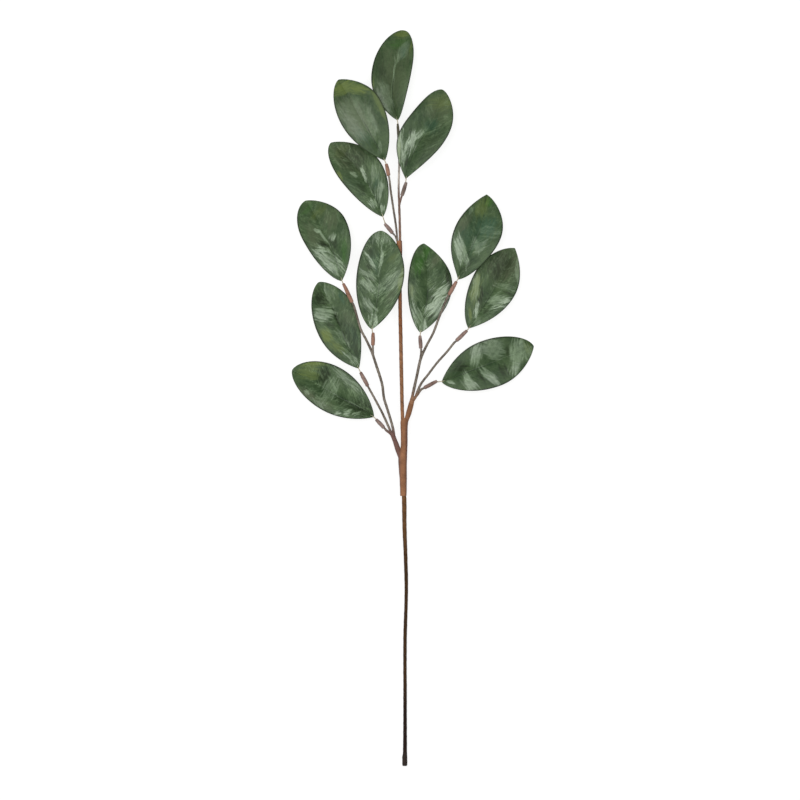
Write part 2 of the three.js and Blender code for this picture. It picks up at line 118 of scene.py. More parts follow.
# Each leaf: its sleeve from twig end to leaf end, its base and tip, the sideways bow and sway of its midrib,
# its arch and how far its sides rise, and each side's half-width, where it is widest and how it runs out to
# the base and the tip. A leaf with no tip height bends down until it rests on the surface. Then come the
# marks on its face: how far along and how far aside each lies, the angle of its strokes (plus leans to the
# right), its length, width and strength. The pale gloss marks raise the coat and also paint a highlight into
# the colour; the grey-olive and blue-green tints are partly the leaf's own colour and partly a painted sheen.
# Torn says how far the pale marks break up into strokes, rib how pale the midrib is, and tone how warm (plus)
# or green (minus) the sleeve is.
LEAVES = {
    "top": dict(
        sleeve=[(-6.5, 664.5, 19.2), (-7.5, 679.5, 19.2)], girth=0.75, base=(-7.5, 683, 19.2),
        tip=(-3, 780.5), bow=-6, sway=-2.5, arch=5, rise=(5, 8),
        left=(24.5, 0.6, 0.75, 0.65), right=(18, 0.47, 0.85, 0.4),
        gloss=[
            (0.77, 0.25, 30, 24, 13, 0.28), (0.69, -0.02, 8, 14, 3, 0.5), (0.56, -0.06, 0, 40, 1.6, 0.7),
            (0.25, -0.4, -22, 40, 16, 0.35)],
        olive=[(0.95, 0.1, 80, 24, 11, 0.8), (0.35, -0.95, 0, 34, 5, 0.6), (0.85, 0.9, 10, 30, 6, 0.5)],
        grass=[(0.84, -0.15, 80, 28, 14, 0.55)],
        shade=[(0.58, -0.65, 0, 40, 14, 0.5)], cool=[(0.76, 0.25, 20, 22, 10, 0.8)],
        dust=[(0.45, 0, 0, 110, 50, 0.55)],
        torn=0.2, rib=0.35, tone=-0.8),
    "top_left": dict(
        sleeve=[(-17, 624.5, 22), (-19.5, 637, 23)], base=(-21, 640, 23.5), tip=(-70, 726, 20),
        bow=0.5, sway=0, arch=3, rise=(4, 5), left=(21.5, 0.55, 1, 0.65), right=(27.5, 0.6, 0.85, 0.8),
        gloss=[(0.42, 0.3, 20, 46, 12, 0.35), (0.52, -0.15, 0, 62, 42, 0.3), (0.15, 0.2, 20, 16, 7, 0.3)],
        olive=[(0.91, 0, 90, 40, 20, 0.9), (0.83, 0.6, -50, 40, 16, 0.9), (0.55, 0.9, 0, 60, 12, 0.6)],
        cool=[(0.35, -0.5, -20, 36, 16, 0.8)], dust=[(0.55, -0.2, 0, 70, 44, 0.8)],
        shade=[(0.78, -0.3, 80, 26, 9, 0.3)],
        torn=0.1, rib=0.1, tone=0.5),
    "top_low": dict(
        sleeve=[(-12.9, 564.2, 18.2), (-21.3, 574.2, 16)], base=(-23, 581.5, 15), tip=(-78.5, 661),
        bow=7.5, sway=0, arch=3, rise=(5, 1), left=(22, 0.58, 0.85, 0.65), right=(24, 0.55, 0.75, 0.75),
        gloss=[
            (0.5, 0.05, 18, 26, 6, 1), (0.55, -0.35, -20, 9, 6, 0.6), (0.45, 0.5, 45, 24, 12, 0.3),
            (0.19, -0.45, 0, 12, 8, 0.9), (0.08, 0.3, 25, 11, 7, 1), (0.25, 0.35, 42, 26, 10, 0.5),
            (0.3, -0.05, 5, 24, 2.5, 0.5)],
        olive=[(0.62, -0.85, 5, 20, 7, 1), (0.85, 0, 60, 26, 16, 0.3)],
        dust=[(0.78, 0.1, 0, 60, 44, 0.8)],
        shade=[(0.74, 0.15, 0, 52, 40, 0.6), (0.38, -0.5, 0, 28, 10, 0.6)],
        cool=[(0.35, 0.4, 40, 26, 14, 0.5)],
        torn=0.9, rib=0, tone=0),
    "top_right": dict(
        sleeve=[(-3, 603.5, 21), (1.5, 617.5, 23)], base=(1, 620.5, 23.5), tip=(40, 716, 14),
        bow=0, sway=-3.5, arch=4, rise=(3, 5), left=(24.5, 0.53, 1, 0.65), right=(23, 0.48, 1.15, 0.6),
        gloss=[
            (0.36, -0.32, -5, 28, 12, 1), (0.48, -0.15, 18, 15, 7, 0.9), (0.28, -0.78, -24, 44, 10, 0.9),
            (0.2, -0.5, -20, 20, 4, 0.7)],
        olive=[(0.88, 0.2, 60, 40, 24, 0.45), (0.3, -0.9, -24, 44, 8, 0.7)],
        cool=[(0.6, 0.1, 0, 26, 22, 0.8)],
        shade=[(0.15, -0.25, -10, 16, 4, 0.8), (0.47, -0.6, -20, 12, 7, 0.6), (0.42, 0.5, 0, 70, 28, 0.5)],
        dust=[(0.82, 0.1, 0, 50, 44, 0.6)],
        torn=0.8, rib=0.1, tone=-0.25),
    "left_outer": dict(
        sleeve=[(-55.5, 491, 19.2), (-65, 511, 18.8)], base=(-66.5, 513.5, 18.5), tip=(-105.5, 599.5),
        bow=4.5, sway=0, arch=5, rise=(4, 5), left=(24, 0.62, 0.75, 0.6), right=(26.5, 0.62, 0.9, 0.75),
        gloss=[
            (0.25, -0.35, -20, 46, 20, 0.8), (0.43, -0.55, -52, 17, 6, 1), (0.52, -0.1, -8, 22, 4, 1),
            (0.63, -0.25, -55, 9, 6, 1), (0.5, 0.25, 40, 11, 7, 1)],
        olive=[(0.8, 0.2, 60, 28, 14, 0.35)],
        grass=[(0.28, 0.6, 20, 36, 11, 0.7), (0.9, -0.1, 70, 22, 9, 0.4)],
        shade=[(0.47, -0.3, -50, 20, 10, 1), (0.45, 0.2, 0, 24, 10, 0.7)],
        dust=[(0.6, -0.5, 0, 40, 24, 0.6), (0.7, 0.5, 20, 40, 22, 0.6)],
        torn=0.8, rib=0, tone=0.5),
    "left_inner": dict(
        sleeve=[(-33.7, 445.5, 19), (-33.4, 459, 19.4)], base=(-35, 462.5, 19.5), tip=(-24.5, 566.5, 21),
        bow=3, sway=0, arch=3, rise=(3, 4), left=(24.5, 0.52, 0.75, 0.55), right=(26, 0.57, 0.85, 0.65),
        gloss=[
            (0.76, 0, 0, 46, 3.5, 0.9), (0.95, 0, 0, 18, 18, 0.4), (0.68, -0.47, -40, 22, 4, 1),
            (0.54, -0.5, -60, 22, 5, 0.5), (0.43, -0.5, -60, 20, 13, 0.6), (0.26, -0.45, -45, 24, 12, 0.8),
            (0.09, 0, 0, 20, 10, 1), (0.5, 0.45, 50, 42, 20, 0.35)],
        olive=[(0.5, 0.95, 0, 54, 10, 0.8), (0.75, 0.6, 40, 22, 9, 0.3)], dust=[(0.38, 0.6, 30, 28, 14, 0.4)],
        shade=[(0.63, -0.55, -50, 18, 8, 0.8), (0.5, -0.4, 80, 16, 4, 0.5), (0.8, -0.6, -30, 30, 14, 0.6)],
        cool=[(0.68, -0.3, 0, 32, 16, 0.5)],
        torn=1, rib=0.2, tone=0.5),
    "left_middle": dict(
        sleeve=[(-39.1, 402.6, 13), (-47, 417.3, 13)], base=(-48.5, 421, 13), tip=(-91.5, 513),
        bow=1, sway=-1.5, arch=3, rise=(5, 1.5), left=(25, 0.57, 0.9, 0.7), right=(22, 0.56, 0.95, 0.65),
        gloss=[
            (0.66, -0.45, -50, 24, 17, 0.85), (0.85, 0.12, 5, 32, 4, 0.5), (0.14, -0.25, -18, 26, 8, 0.7),
            (0.38, -0.1, -10, 28, 7, 0.4), (0.85, 0.5, 10, 22, 9, 0.25)],
        olive=[(0.45, -0.72, -5, 24, 15, 1), (0.3, -0.55, -15, 26, 14, 0.7)],
        shade=[(0.82, -0.35, -10, 32, 19, 1), (0.56, 0, 0, 36, 8, 0.9), (0.54, -0.35, -40, 13, 8, 0.8),
               (0.3, 0.35, 0, 64, 20, 0.7)],
        cool=[(0.75, 0.7, 5, 22, 9, 0.8), (0.35, 0.45, 10, 44, 16, 0.6)], dust=[(0.5, 0.45, 10, 40, 18, 0.5)],
        torn=0.8, rib=0, tone=0.1),
    "left_low": dict(
        sleeve=[(-22, 358.5, 11.5), (-30.5, 367.5, 11)], base=(-32.5, 370, 11), tip=(-119.5, 420),
        bow=0, sway=0, arch=4, rise=(8, 6), left=(21, 0.52, 0.9, 0.65), right=(27.5, 0.55, 0.85, 0.6),
        gloss=[
            (0.55, 0, 90, 34, 18, 0.45), (0.57, -0.75, 20, 18, 10, 0.3), (0.34, -0.85, -40, 8, 5, 0.9),
            (0.26, -0.62, -45, 10, 7, 0.9), (0.75, -0.72, 30, 8, 5, 0.8), (0.42, 0.75, 10, 42, 10, 0.45),
            (0.3, 0.03, 0, 52, 1.8, 0.4), (0.16, -0.6, -40, 9, 5, 0.7)],
        olive=[(0.82, 0.8, -34, 42, 10, 1), (0.83, 0.3, -20, 34, 20, 0.6)],
        shade=[(0.67, 0.35, 80, 28, 20, 1), (0.35, -0.1, 0, 32, 15, 0.5), (0.8, -0.6, 20, 20, 9, 0.5),
               (0.16, 0.1, 0, 40, 26, 0.9)],
        dust=[(0.72, -0.8, 10, 34, 14, 1), (0.5, -0.7, 0, 30, 14, 0.5)],
        torn=0.9, rib=0, tone=0),
    "right_inner": dict(
        sleeve=[(17, 442.5, 17.2), (16, 456, 15.6)], base=(16.5, 459, 15), tip=(20.5, 554),
        bow=5.5, sway=0, arch=2, rise=(5, 1.5), left=(21, 0.52, 0.8, 0.6), right=(26.5, 0.55, 0.85, 0.9),
        gloss=[
            (0.46, 0.58, 45, 26, 22, 1), (0.28, 0.6, 35, 30, 20, 1), (0.3, 0.15, 35, 20, 4, 0.9),
            (0.16, -0.45, -22, 32, 14, 0.9), (0.08, 0, 0, 18, 7, 0.9), (0.2, 0.78, 40, 18, 5, 0.6),
            (0.45, -0.8, -10, 22, 6, 0.35)],
        olive=[(0.45, -0.8, -10, 20, 6, 0.7)], grass=[(0.9, 0, 0, 22, 14, 1), (0.75, -0.45, 5, 36, 14, 1)],
        shade=[(0.19, 0.35, 35, 11, 6, 0.9), (0.41, 0.2, 80, 10, 5, 0.9), (0.65, 0.9, -10, 26, 10, 1)],
        dust=[(0.8, 0.5, 30, 24, 14, 0.8)],
        torn=0.9, rib=0, tone=0.05),
    "right_upper": dict(
        sleeve=[(46.5, 498.7, 20.8), (54.5, 513, 21)], base=(56, 515, 21), tip=(86.5, 605.5, 9),
        bow=4, sway=-2, arch=5, rise=(4, 4), left=(25, 0.56, 1.15, 1), right=(24.5, 0.55, 0.75, 0.65),
        gloss=[
            (0.32, -0.45, -36, 38, 13, 0.85), (0.25, -0.28, -36, 22, 8, 0.85), (0.42, 0.3, 45, 26, 13, 0.3),
            (0.42, 0.15, -20, 22, 9, 0.4), (0.62, 0.5, 80, 28, 14, 0.25), (0.78, -0.75, 0, 12, 6, 0.3)],
        olive=[(0.84, -0.3, -10, 34, 20, 0.5)], dust=[(0.62, -0.75, 10, 32, 14, 0.7)],
        grass=[(0.92, 0.2, 0, 12, 9, 0.8)],
        cool=[(0.65, 0.3, 0, 36, 34, 0.9), (0.5, -0.1, 0, 50, 40, 0.6)],
        shade=[(0.15, 0.3, 20, 22, 9, 0.5), (0.5, -0.1, 0, 14, 12, 0.3)],
        torn=0.7, rib=0, tone=0.4),
    "right_outer": dict(
        sleeve=[(54.5, 450.5, 13.8), (66, 461.5, 13.6)], base=(67.5, 463.5, 13.5), tip=(117, 549),
        bow=2, sway=0, arch=3, rise=(2, 6), left=(26, 0.57, 0.75, 0.75), right=(23, 0.55, 0.95, 0.95),
        gloss=[
            (0.41, 0.5, 50, 28, 17, 0.9), (0.58, 0.4, 85, 26, 9, 0.35), (0.8, 0.8, -28, 34, 8, 0.6),
            (0.22, -0.2, -25, 20, 6, 1), (0.12, 0.3, 20, 14, 7, 0.4), (0.42, -0.72, -27, 38, 9, 0.4)],
        olive=[(0.42, -0.7, -25, 46, 15, 1), (0.14, -0.5, -38, 20, 6, 0.8)],
        shade=[(0.35, -0.3, -28, 36, 7, 0.9), (0.26, 0.25, 30, 9, 8, 0.8), (0.53, 0.78, 85, 16, 5, 0.7),
               (0.74, -0.2, 0, 48, 34, 0.75)],
        dust=[(0.78, 0, 0, 52, 46, 1)],
        torn=0.8, rib=0, tone=0.1),
    "right_low": dict(
        sleeve=[(20.6, 400.7, 12.6), (34.2, 408, 11)], base=(39, 407, 10.5), tip=(137, 445),
        bow=0, sway=0, arch=4, rise=(5, 5), left=(25, 0.5, 0.9, 0.6), right=(26.5, 0.55, 0.7, 0.85),
        gloss=[
            (0.8, 0.2, -63, 50, 20, 0.75), (0.42, -0.5, -65, 32, 14, 0.75), (0.48, 0.5, 68, 32, 11, 0.75),
            (0.26, 0.5, 75, 28, 14, 0.75), (0.6, -0.55, 30, 30, 26, 0.5), (0.09, 0.3, 30, 12, 5, 0.8),
            (0.9, 0, 90, 26, 16, 0.5)],
        olive=[(0.93, 0, 90, 20, 12, 0.5)],
        shade=[(0.63, 0.5, 80, 24, 13, 0.9), (0.39, 0.4, 80, 20, 7, 0.9), (0.22, -0.4, 20, 26, 16, 0.9),
               (0.74, -0.3, -70, 28, 7, 0.6)],
        torn=0.35, rib=0.1, tone=0.1),
}

# The veined surface of a blade
ROWS = 190
AROUND = 152
ROW_CROWDING = 0.55
VEINS = 12
VEIN_SHARPNESS = 9
VEIN_WOBBLE = 0.06
VEIN_LEAN = 0.85
VEIN_SWEEP = 16
VEIN_DEPTH = 0.1
FLOW_WOBBLE = 0.12
STRANDS = 20
STRAND_BREADTH = 0.075
STRAND_HEIGHT = 0.1
HAIRS = 46
HAIR_BREADTH = 0.055
MARK_HEIGHT = 0.12
SWELL_HEIGHT = 0.6
BACK_RELIEF = 0.7
MARKS = {"Gloss": 8, "Olive": 3, "Grass": 2, "Shade": 4, "Cool": 2, "Dust": 2}
NO_MARK = (0.5, 0, 0, 1, 1, 0)
STALK_PLACE = (-0.1, 0, 1)
STROKE_WIDTH = 1.4
STROKE_LENGTH = 16
MARK_BEND = 9
BEND_SIZE = 20
WELD = 0.001


# Node trees: fields that read as formulas

class Field:
    """A socket of a node tree that takes part in formulas. Each operator adds one node."""

    def __init__(self, tree, socket):
        self.tree = tree
        self.socket = socket

    def calc(self, operation, *values):
        return calc(self.tree, operation, *values)

    def __add__(self, other):
        return self.calc("ADD", self, other)

    __radd__ = __add__

    def __sub__(self, other):
        return self.calc("SUBTRACT", self, other)

    def __rsub__(self, other):
        return self.calc("SUBTRACT", other, self)

    def __mul__(self, other):
        return self.calc("MULTIPLY", self, other)

    __rmul__ = __mul__

    def __truediv__(self, other):
        return self.calc("DIVIDE", self, other)

    def __pow__(self, other):
        return self.calc("POWER", self, other)

    def __neg__(self):
        return self * -1

    def __abs__(self):
        return self.calc("ABSOLUTE", self)

    def __lt__(self, other):
        return self.calc("LESS_THAN", self, other)


def feed(tree, socket, value):
    if isinstance(value, Field):
        tree.links.new(value.socket, socket)
    else:
        socket.default_value = value


def add_node(tree, kind, inputs=None, **settings):
    node = tree.nodes.new(kind)
    for name, value in settings.items():
        setattr(node, name, value)
    for name, value in (inputs or {}).items():
        feed(tree, node.inputs[name], value)
    return node


def out_of(tree, node, name=0):
    return Field(tree, node.outputs[name])


def calc(tree, operation, *values):
    node = add_node(tree, "ShaderNodeMath", dict(enumerate(values)), operation=operation)
    return out_of(tree, node)


def sin(field):
    return field.calc("SINE", field)


def cos(field):
    return field.calc("COSINE", field)


def bell(field):
    """1 where the field is 0, falling off smoothly on both sides."""
    return field.calc("EXPONENT", -(field * field))


def highest(field, other):
    return field.calc("MAXIMUM", field, other)


def lowest(field, other):
    return field.calc("MINIMUM", field, other)


def pick(condition, chosen, otherwise):
    return condition * chosen + (1 - condition) * otherwise


def blend(low, high, share):
    return low + (high - low) * share


def ramp(field, start, end):
    """0 up to start, 1 from end, smooth between them."""
    inputs = {"Value": field, "From Min": start, "From Max": end}
    node = add_node(field.tree, "ShaderNodeMapRange", inputs, interpolation_type="SMOOTHSTEP")
    return out_of(field.tree, node)


def join_xyz(tree, x, y, z):
    return out_of(tree, add_node(tree, "ShaderNodeCombineXYZ", {"X": x, "Y": y, "Z": z}))


def split_xyz(vector):
    node = add_node(vector.tree, "ShaderNodeSeparateXYZ", {0: vector})
    return [out_of(vector.tree, node, axis) for axis in "XYZ"]


def noise(vector, scale, detail=2.0):
    """Soft noise, from about -0.5 to 0.5."""
    node = add_node(vector.tree, "ShaderNodeTexNoise", {"Vector": vector, "Scale": scale, "Detail": detail})
    return out_of(vector.tree, node) - 0.5


def new_group(name, kind, inputs, outputs):
    tree = bpy.data.node_groups.new(name, kind)
    for label, socket_type in inputs:
        tree.interface.new_socket(label, in_out="INPUT", socket_type=socket_type)
    for label, socket_type in outputs:
        tree.interface.new_socket(label, in_out="OUTPUT", socket_type=socket_type)
    enter = tree.nodes.new("NodeGroupInput")
    leave = tree.nodes.new("NodeGroupOutput")
    return tree, {item[0]: out_of(tree, enter, item[0]) for item in inputs}, leave


def chain(tree, geometry, kind, inputs=None, **settings):
    """Passes a geometry through one more node."""
    node = add_node(tree, kind, inputs, **settings)
    tree.links.new(geometry.socket, node.inputs[0])
    return out_of(tree, node)


def position(tree):
    return out_of(tree, add_node(tree, "GeometryNodeInputPosition"))


def stored(tree, name, kind):
    """What lies on the points of a mesh or a path under a name."""
    return out_of(tree, add_node(tree, "GeometryNodeInputNamedAttribute", {"Name": name}, data_type=kind))


def keep_vector(tree, geometry, name, vector):
    """Stores a vector on the points, for later nodes and for the materials."""
    return chain(
        tree, geometry, "GeometryNodeStoreNamedAttribute", {"Name": name, "Value": vector},
        data_type="FLOAT_VECTOR", domain="POINT")


def close_tree(tree, leave, geometry, material):
    geometry = chain(tree, geometry, "GeometryNodeSetShadeSmooth")
    geometry = chain(tree, geometry, "GeometryNodeRealizeInstances")
    geometry = chain(tree, geometry, "GeometryNodeSetMaterial", {"Material": material})
    tree.links.new(geometry.socket, leave.inputs["Geometry"])


FLOAT = "NodeSocketFloat"
VECTOR = "NodeSocketVector"
GEOMETRY = "NodeSocketGeometry"


# Leaves

SIDE_SIZES = ["Half Width", "Widest", "To Base", "To Tip"]
LEAF_SIZES = [
    ("Base", VECTOR), ("Tip", VECTOR), ("Bow", FLOAT), ("Sway", FLOAT), ("Arch", FLOAT), ("Left Rise", FLOAT),
    ("Right Rise", FLOAT), ("Drop", FLOAT), ("Rests", FLOAT), ("Phase", FLOAT), ("Torn", FLOAT),
    ("Pale Rib", FLOAT), ("Stalk Start", VECTOR), ("Stalk Mouth", VECTOR), ("Stalk Bend", VECTOR),
    ("Stalk End", VECTOR),
    *[(f"{side} {label}", FLOAT) for side in ("Left", "Right") for label in SIDE_SIZES],
    *[(f"{kind} {number} {label}", VECTOR)
      for kind, count in MARKS.items() for number in range(count) for label in ("Place", "Spread")],
]


def marks(size, kind, ahead, aside, torn, soft, bare):
    """How far a spot of the face lies inside marks of one kind: ovals that thin out in torn strokes."""
    tree = ahead.tree
    covered = None
    for number in range(MARKS[kind]):
        at_ahead, at_aside, strength = split_xyz(size[f"{kind} {number} Place"])
        long, wide, angle = split_xyz(size[f"{kind} {number} Spread"])
        along = (ahead - at_ahead) * cos(angle) + (aside - at_aside) * sin(angle)
        across = (aside - at_aside) * cos(angle) - (ahead - at_ahead) * sin(angle)
        beside = across / (STROKE_WIDTH * MM)
        onward = along / (STROKE_LENGTH * MM)
        stroke = noise(join_xyz(tree, beside, onward, size["Phase"] * 3.7 + number), 1, 3.0)
        far_along = 2 * along / long
        far_across = 2 * across / wide
        far = (far_along * far_along + far_across * far_across) ** 0.5
        streak = bare + (1 - bare) * ramp(stroke, -0.15, 0.12)
        mark = strength * ramp(1 - far + torn * stroke, 0, soft) * streak
        covered = mark if covered is None else highest(covered, mark)
    return covered


def feathering(start, v, phase, fineness, breadth):
    """Fine strands that sweep from the midrib to the margin, uneven in place and strength."""
    tree = start.tree
    lines = noise(join_xyz(tree, start * fineness, v * 2.2, phase * 7.3), 1)
    clusters = noise(join_xyz(tree, start * 8, v * 2.6, phase * 3.1), 1)
    return (1 - ramp(abs(lines), 0, breadth)) * ramp(clusters, -0.12, 0.12)


def leaf_stalk(tree, size):
    """The stalk, from inside the sleeve into the base of the blade."""
    bend = add_node(
        tree, "GeometryNodeCurvePrimitiveBezierSegment",
        {"Resolution": STALK_STEPS, "Start": size["Stalk Start"], "Start Handle": size["Stalk Mouth"],
         "End Handle": size["Stalk Bend"], "End": size["Stalk End"]})
    factor = out_of(tree, add_node(tree, "GeometryNodeSplineParameter"), "Factor")
    thickness = STALK_RADIUS * MM * (1 - STALK_TAPER * ramp(factor, 0.6, 1))
    ring = add_node(tree, "GeometryNodeCurvePrimitiveCircle", {"Resolution": STALK_SIDES, "Radius": 1})
    stalk = chain(
        tree, out_of(tree, bend), "GeometryNodeCurveToMesh",
        {"Profile Curve": out_of(tree, ring), "Scale": thickness, "Fill Caps": True})
    stalk = keep_vector(tree, stalk, "leaf_place", STALK_PLACE)
    for label in ("leaf_marks", "leaf_tints", "leaf_flow", "leaf_veins"):
        stalk = keep_vector(tree, stalk, label, (0, 0, 0))
    return stalk


def leaf_tree(material):
    """A leaf's blade, a grid with rows from base to tip and columns round the blade, and its stalk."""
    tree, size, leave = new_group("veined leaf", "GeometryNodeTree", LEAF_SIZES, [("Geometry", GEOMETRY)])
    grid = add_node(
        tree, "GeometryNodeMeshGrid", {"Size X": 1, "Size Y": 1, "Vertices X": ROWS, "Vertices Y": AROUND})
    grid_x, grid_y, _ = split_xyz(position(tree))
    row = grid_x + 0.5
    turn = grid_y + 0.5
    t = blend(row, 0.5 - 0.5 * cos(row * math.pi), ROW_CROWDING)
    v = 1 - abs(4 * turn - 2)
    on_face = turn < 0.5
    out = abs(v)
    on_left = v < 0

    base_x, base_y, base_z = split_xyz(size["Base"])
    tip_x, tip_y, tip_z = split_xyz(size["Tip"])
    ahead_x = tip_x - base_x
    ahead_y = tip_y - base_y
    length = (ahead_x * ahead_x + ahead_y * ahead_y) ** 0.5

    # Outline and camber
    def of_side(label):
        return pick(on_left, size[f"Left {label}"], size[f"Right {label}"])

    widest = of_side("Widest")
    near_base = t < widest
    away = pick(near_base, (widest - t) / widest, (t - widest) / (1 - widest))
    share = highest(1 - away * away, 0) ** pick(near_base, of_side("To Base"), of_side("To Tip"))
    hump = 4 * t * (1 - t)
    half = of_side("Half Width")
    midrib = size["Bow"] * hump + size["Sway"] * sin(t * (2 * math.pi))
    across = midrib + v * share * half
    crown = out * (2 - out) * of_side("Rise") * share
    ripple = WAVE * MM * out * out * share * sin(t * (2 * math.pi * RIPPLES) + size["Phase"] + v)
    level = blend(base_z, tip_z, t) + size["Arch"] * hump + crown + ripple + t * size["Drop"]

    # Marks on the face, in the blade's own plane
    bend_at = (t * length / (BEND_SIZE * MM), across / (BEND_SIZE * MM))
    bend = [noise(join_xyz(tree, *bend_at, size["Phase"] + shift), 1) for shift in (0.3, 7.7)]
    ahead = t * length + bend[0] * (MARK_BEND * MM)
    aside = across + bend[1] * (MARK_BEND * MM)
    gloss = marks(
        size, "Gloss", ahead, aside, torn=0.6 + 2.2 * size["Torn"], soft=0.5, bare=1 - 0.75 * size["Torn"])
    olive, grass, shade, cool, dust = [
        marks(size, kind, ahead, aside, torn=1.6, soft=0.8, bare=0.8)
        for kind in ("Olive", "Grass", "Shade", "Cool", "Dust")
    ]

    # Veins that leave the midrib and sweep towards the tip, with fine strands between them
    from_rib = out * share * half
    start = t - (VEIN_LEAN * from_rib + VEIN_SWEEP * from_rib * from_rib) / length
    place = join_xyz(tree, start * 6, v * 1.2, size["Phase"] * 7.3)
    wobble = noise(place, 1.6)
    vein_phase = (start + wobble * VEIN_WOBBLE) * VEINS + on_left * 0.5
    vein_line = (0.5 + 0.5 * cos(vein_phase * (2 * math.pi))) ** VEIN_SHARPNESS
    vein = vein_line * ramp(noise(place, 2.3), -0.2, 0.2)
    flow = start + FLOW_WOBBLE * noise(join_xyz(tree, t * 4, v * 1.6, size["Phase"] * 9.1), 1)
    strand = feathering(flow, v, size["Phase"], STRANDS, STRAND_BREADTH)
    inside = (1 - out ** 8) * ramp(t, 0.01, 0.07) * (1 - ramp(t, 0.86, 0.99))
    swell = noise(join_xyz(tree, t * 4, v * 1.1, size["Phase"] * 3.7), 1) * SWELL_HEIGHT * MM * share
    lift = strand * (STRAND_HEIGHT * MM) * size["Torn"] + gloss * (MARK_HEIGHT * MM)
    relief = inside * (lift - vein * (VEIN_DEPTH * MM) + swell)

    # Face and back. A resting leaf stops at the surface. For the others the stop lies a metre lower
    profile = highest(1 - out ** 10, 0) ** 0.5 * lowest(share * 10, 1) ** 0.5
    groove = bell(from_rib / (GROOVE_WIDTH * MM)) * (GROOVE * MM) * profile
    rib = bell(from_rib / (RIB_WIDTH * MM)) * (RIB * MM) * (1 - RIB_TAPER * t) * profile
    stop = size["Rests"] - 1
    back = highest(level + relief * BACK_RELIEF - profile * (BLADE * MM / 2) - rib, stop)
    face = highest(level + relief + profile * (BLADE * MM / 2) - groove, back + profile * (THINNEST * MM))
    x = base_x + t * ahead_x + across * ahead_y / length
    y = base_y + t * ahead_y - across * ahead_x / length
    z = pick(on_face, face, back)

    kept = {
        "leaf_place": (t, v, on_face),
        "leaf_marks": (gloss, olive, grass),
        "leaf_tints": (shade, cool, dust),
        "leaf_flow": (flow, size["Phase"], size["Pale Rib"]),
        "leaf_veins": (vein * inside, strand * inside, size["Torn"]),
    }
    blade = out_of(tree, grid, "Mesh")
    for label, values in kept.items():
        blade = keep_vector(tree, blade, label, join_xyz(tree, *values))
    blade = chain(tree, blade, "GeometryNodeSetPosition", {"Position": join_xyz(tree, x, y, z)})
    blade = chain(tree, blade, "GeometryNodeMergeByDistance", {"Distance": WELD * MM})
    blade = chain(tree, blade, "GeometryNodeFlipFaces")

    both = add_node(tree, "GeometryNodeJoinGeometry")
    for part in (leaf_stalk(tree, size), blade):
        tree.links.new(part.socket, both.inputs[0])
    close_tree(tree, leave, out_of(tree, both), material)
    return tree


def outline(t, side):
    """Share of a side's half-width at t."""
    _, widest, to_base, to_tip = side
    away = (widest - t) / widest if t < widest else (t - widest) / (1 - widest)
    return max((1 - away * away) ** (to_base if t < widest else to_tip), TIP_SHARE)


def resting_drop(leaf, phase):
    """How far a leaf's tip comes down, or up, until the blade is pressed on the surface by SETTLE."""
    drops = []
    for t in STATIONS:
        hump = 4 * t * (1 - t)
        for v in COLUMNS:
            out = abs(v)
            share = outline(t, leaf["left" if v < 0 else "right"])
            crown = out * (2 - out) * leaf["rise"][0 if v < 0 else 1] * share
            ripple = WAVE * v * v * share * math.sin(2 * math.pi * RIPPLES * t + phase + v)
            rib = RIB * (1 - RIB_TAPER * t) if v == 0 else 0
            back = leaf["base"][2] * (1 - t) + leaf["arch"] * hump + crown + ripple - BLADE / 2 - rib
            drops.append(-(back + SETTLE) / t)
    return max(drops)


def mark_sizes(leaf, length):
    """The places, spreads and strengths of a leaf's marks, in metres from its base."""
    sizes = {}
    for kind, count in MARKS.items():
        given = leaf.get(kind.lower(), [])
        padded = given + (count - len(given)) * [NO_MARK]
        for number, (t, v, angle, long, wide, strength) in enumerate(padded):
            side = leaf["left" if v < 0 else "right"]
            midrib = leaf["bow"] * 4 * t * (1 - t) + leaf["sway"] * math.sin(2 * math.pi * t)
            aside = midrib + v * outline(t, side) * side[0]
            sizes[f"{kind} {number} Place"] = (t * length * MM, aside * MM, strength)
            sizes[f"{kind} {number} Spread"] = (long * MM, wide * MM, math.radians(angle))
    return sizes


def leaf_sizes(leaf, phase):
    """A leaf's values for the tree's inputs, in metres."""
    rests = len(leaf["tip"]) == 2
    base = Vector(leaf["base"])
    tip = Vector((*leaf["tip"], 0)) if rests else Vector(leaf["tip"])
    mouth_from, mouth_to = [Vector(point) for point in leaf["sleeve"]]
    mouth_way = (mouth_to - mouth_from).normalized()
    ahead = Vector((tip.x - base.x, tip.y - base.y, 0)).normalized()
    sideways = Vector((ahead.y, -ahead.x, 0))
    # The midrib leaves the base at an angle where the leaf bows
    length = math.hypot(tip.x - base.x, tip.y - base.y)
    slope = (4 * leaf["bow"] + 2 * math.pi * leaf["sway"]) / length
    drop = resting_drop(leaf, phase) if rests else 0
    climb = (tip.z - base.z + 4 * leaf["arch"] + drop) / length
    heading = (ahead + sideways * slope + Vector((0, 0, climb))).normalized()
    sizes = {
        "Bow": leaf["bow"] * MM, "Sway": leaf["sway"] * MM, "Arch": leaf["arch"] * MM,
        "Left Rise": leaf["rise"][0] * MM, "Right Rise": leaf["rise"][1] * MM,
        "Drop": drop * MM, "Rests": float(rests), "Phase": float(phase),
        "Torn": float(leaf["torn"]), "Pale Rib": float(leaf["rib"]),
    }
    for side in ("Left", "Right"):
        half, *shape = leaf[side.lower()]
        for label, value in zip(SIDE_SIZES, [half * MM, *shape]):
            sizes[f"{side} {label}"] = float(value)
    sizes.update(mark_sizes(leaf, length))
    places = {
        "Base": base, "Tip": tip, "Stalk Start": mouth_to - mouth_way * STALK_DEPTH,
        "Stalk Mouth": mouth_to + mouth_way * GAP, "Stalk Bend": base - heading * STALK_LEAD,
        "Stalk End": base + heading * STALK_REACH - Vector((0, 0, STALK_SINK)),
    }
    sizes.update({name: in_frame(point) for name, point in places.items()})
    return sizes


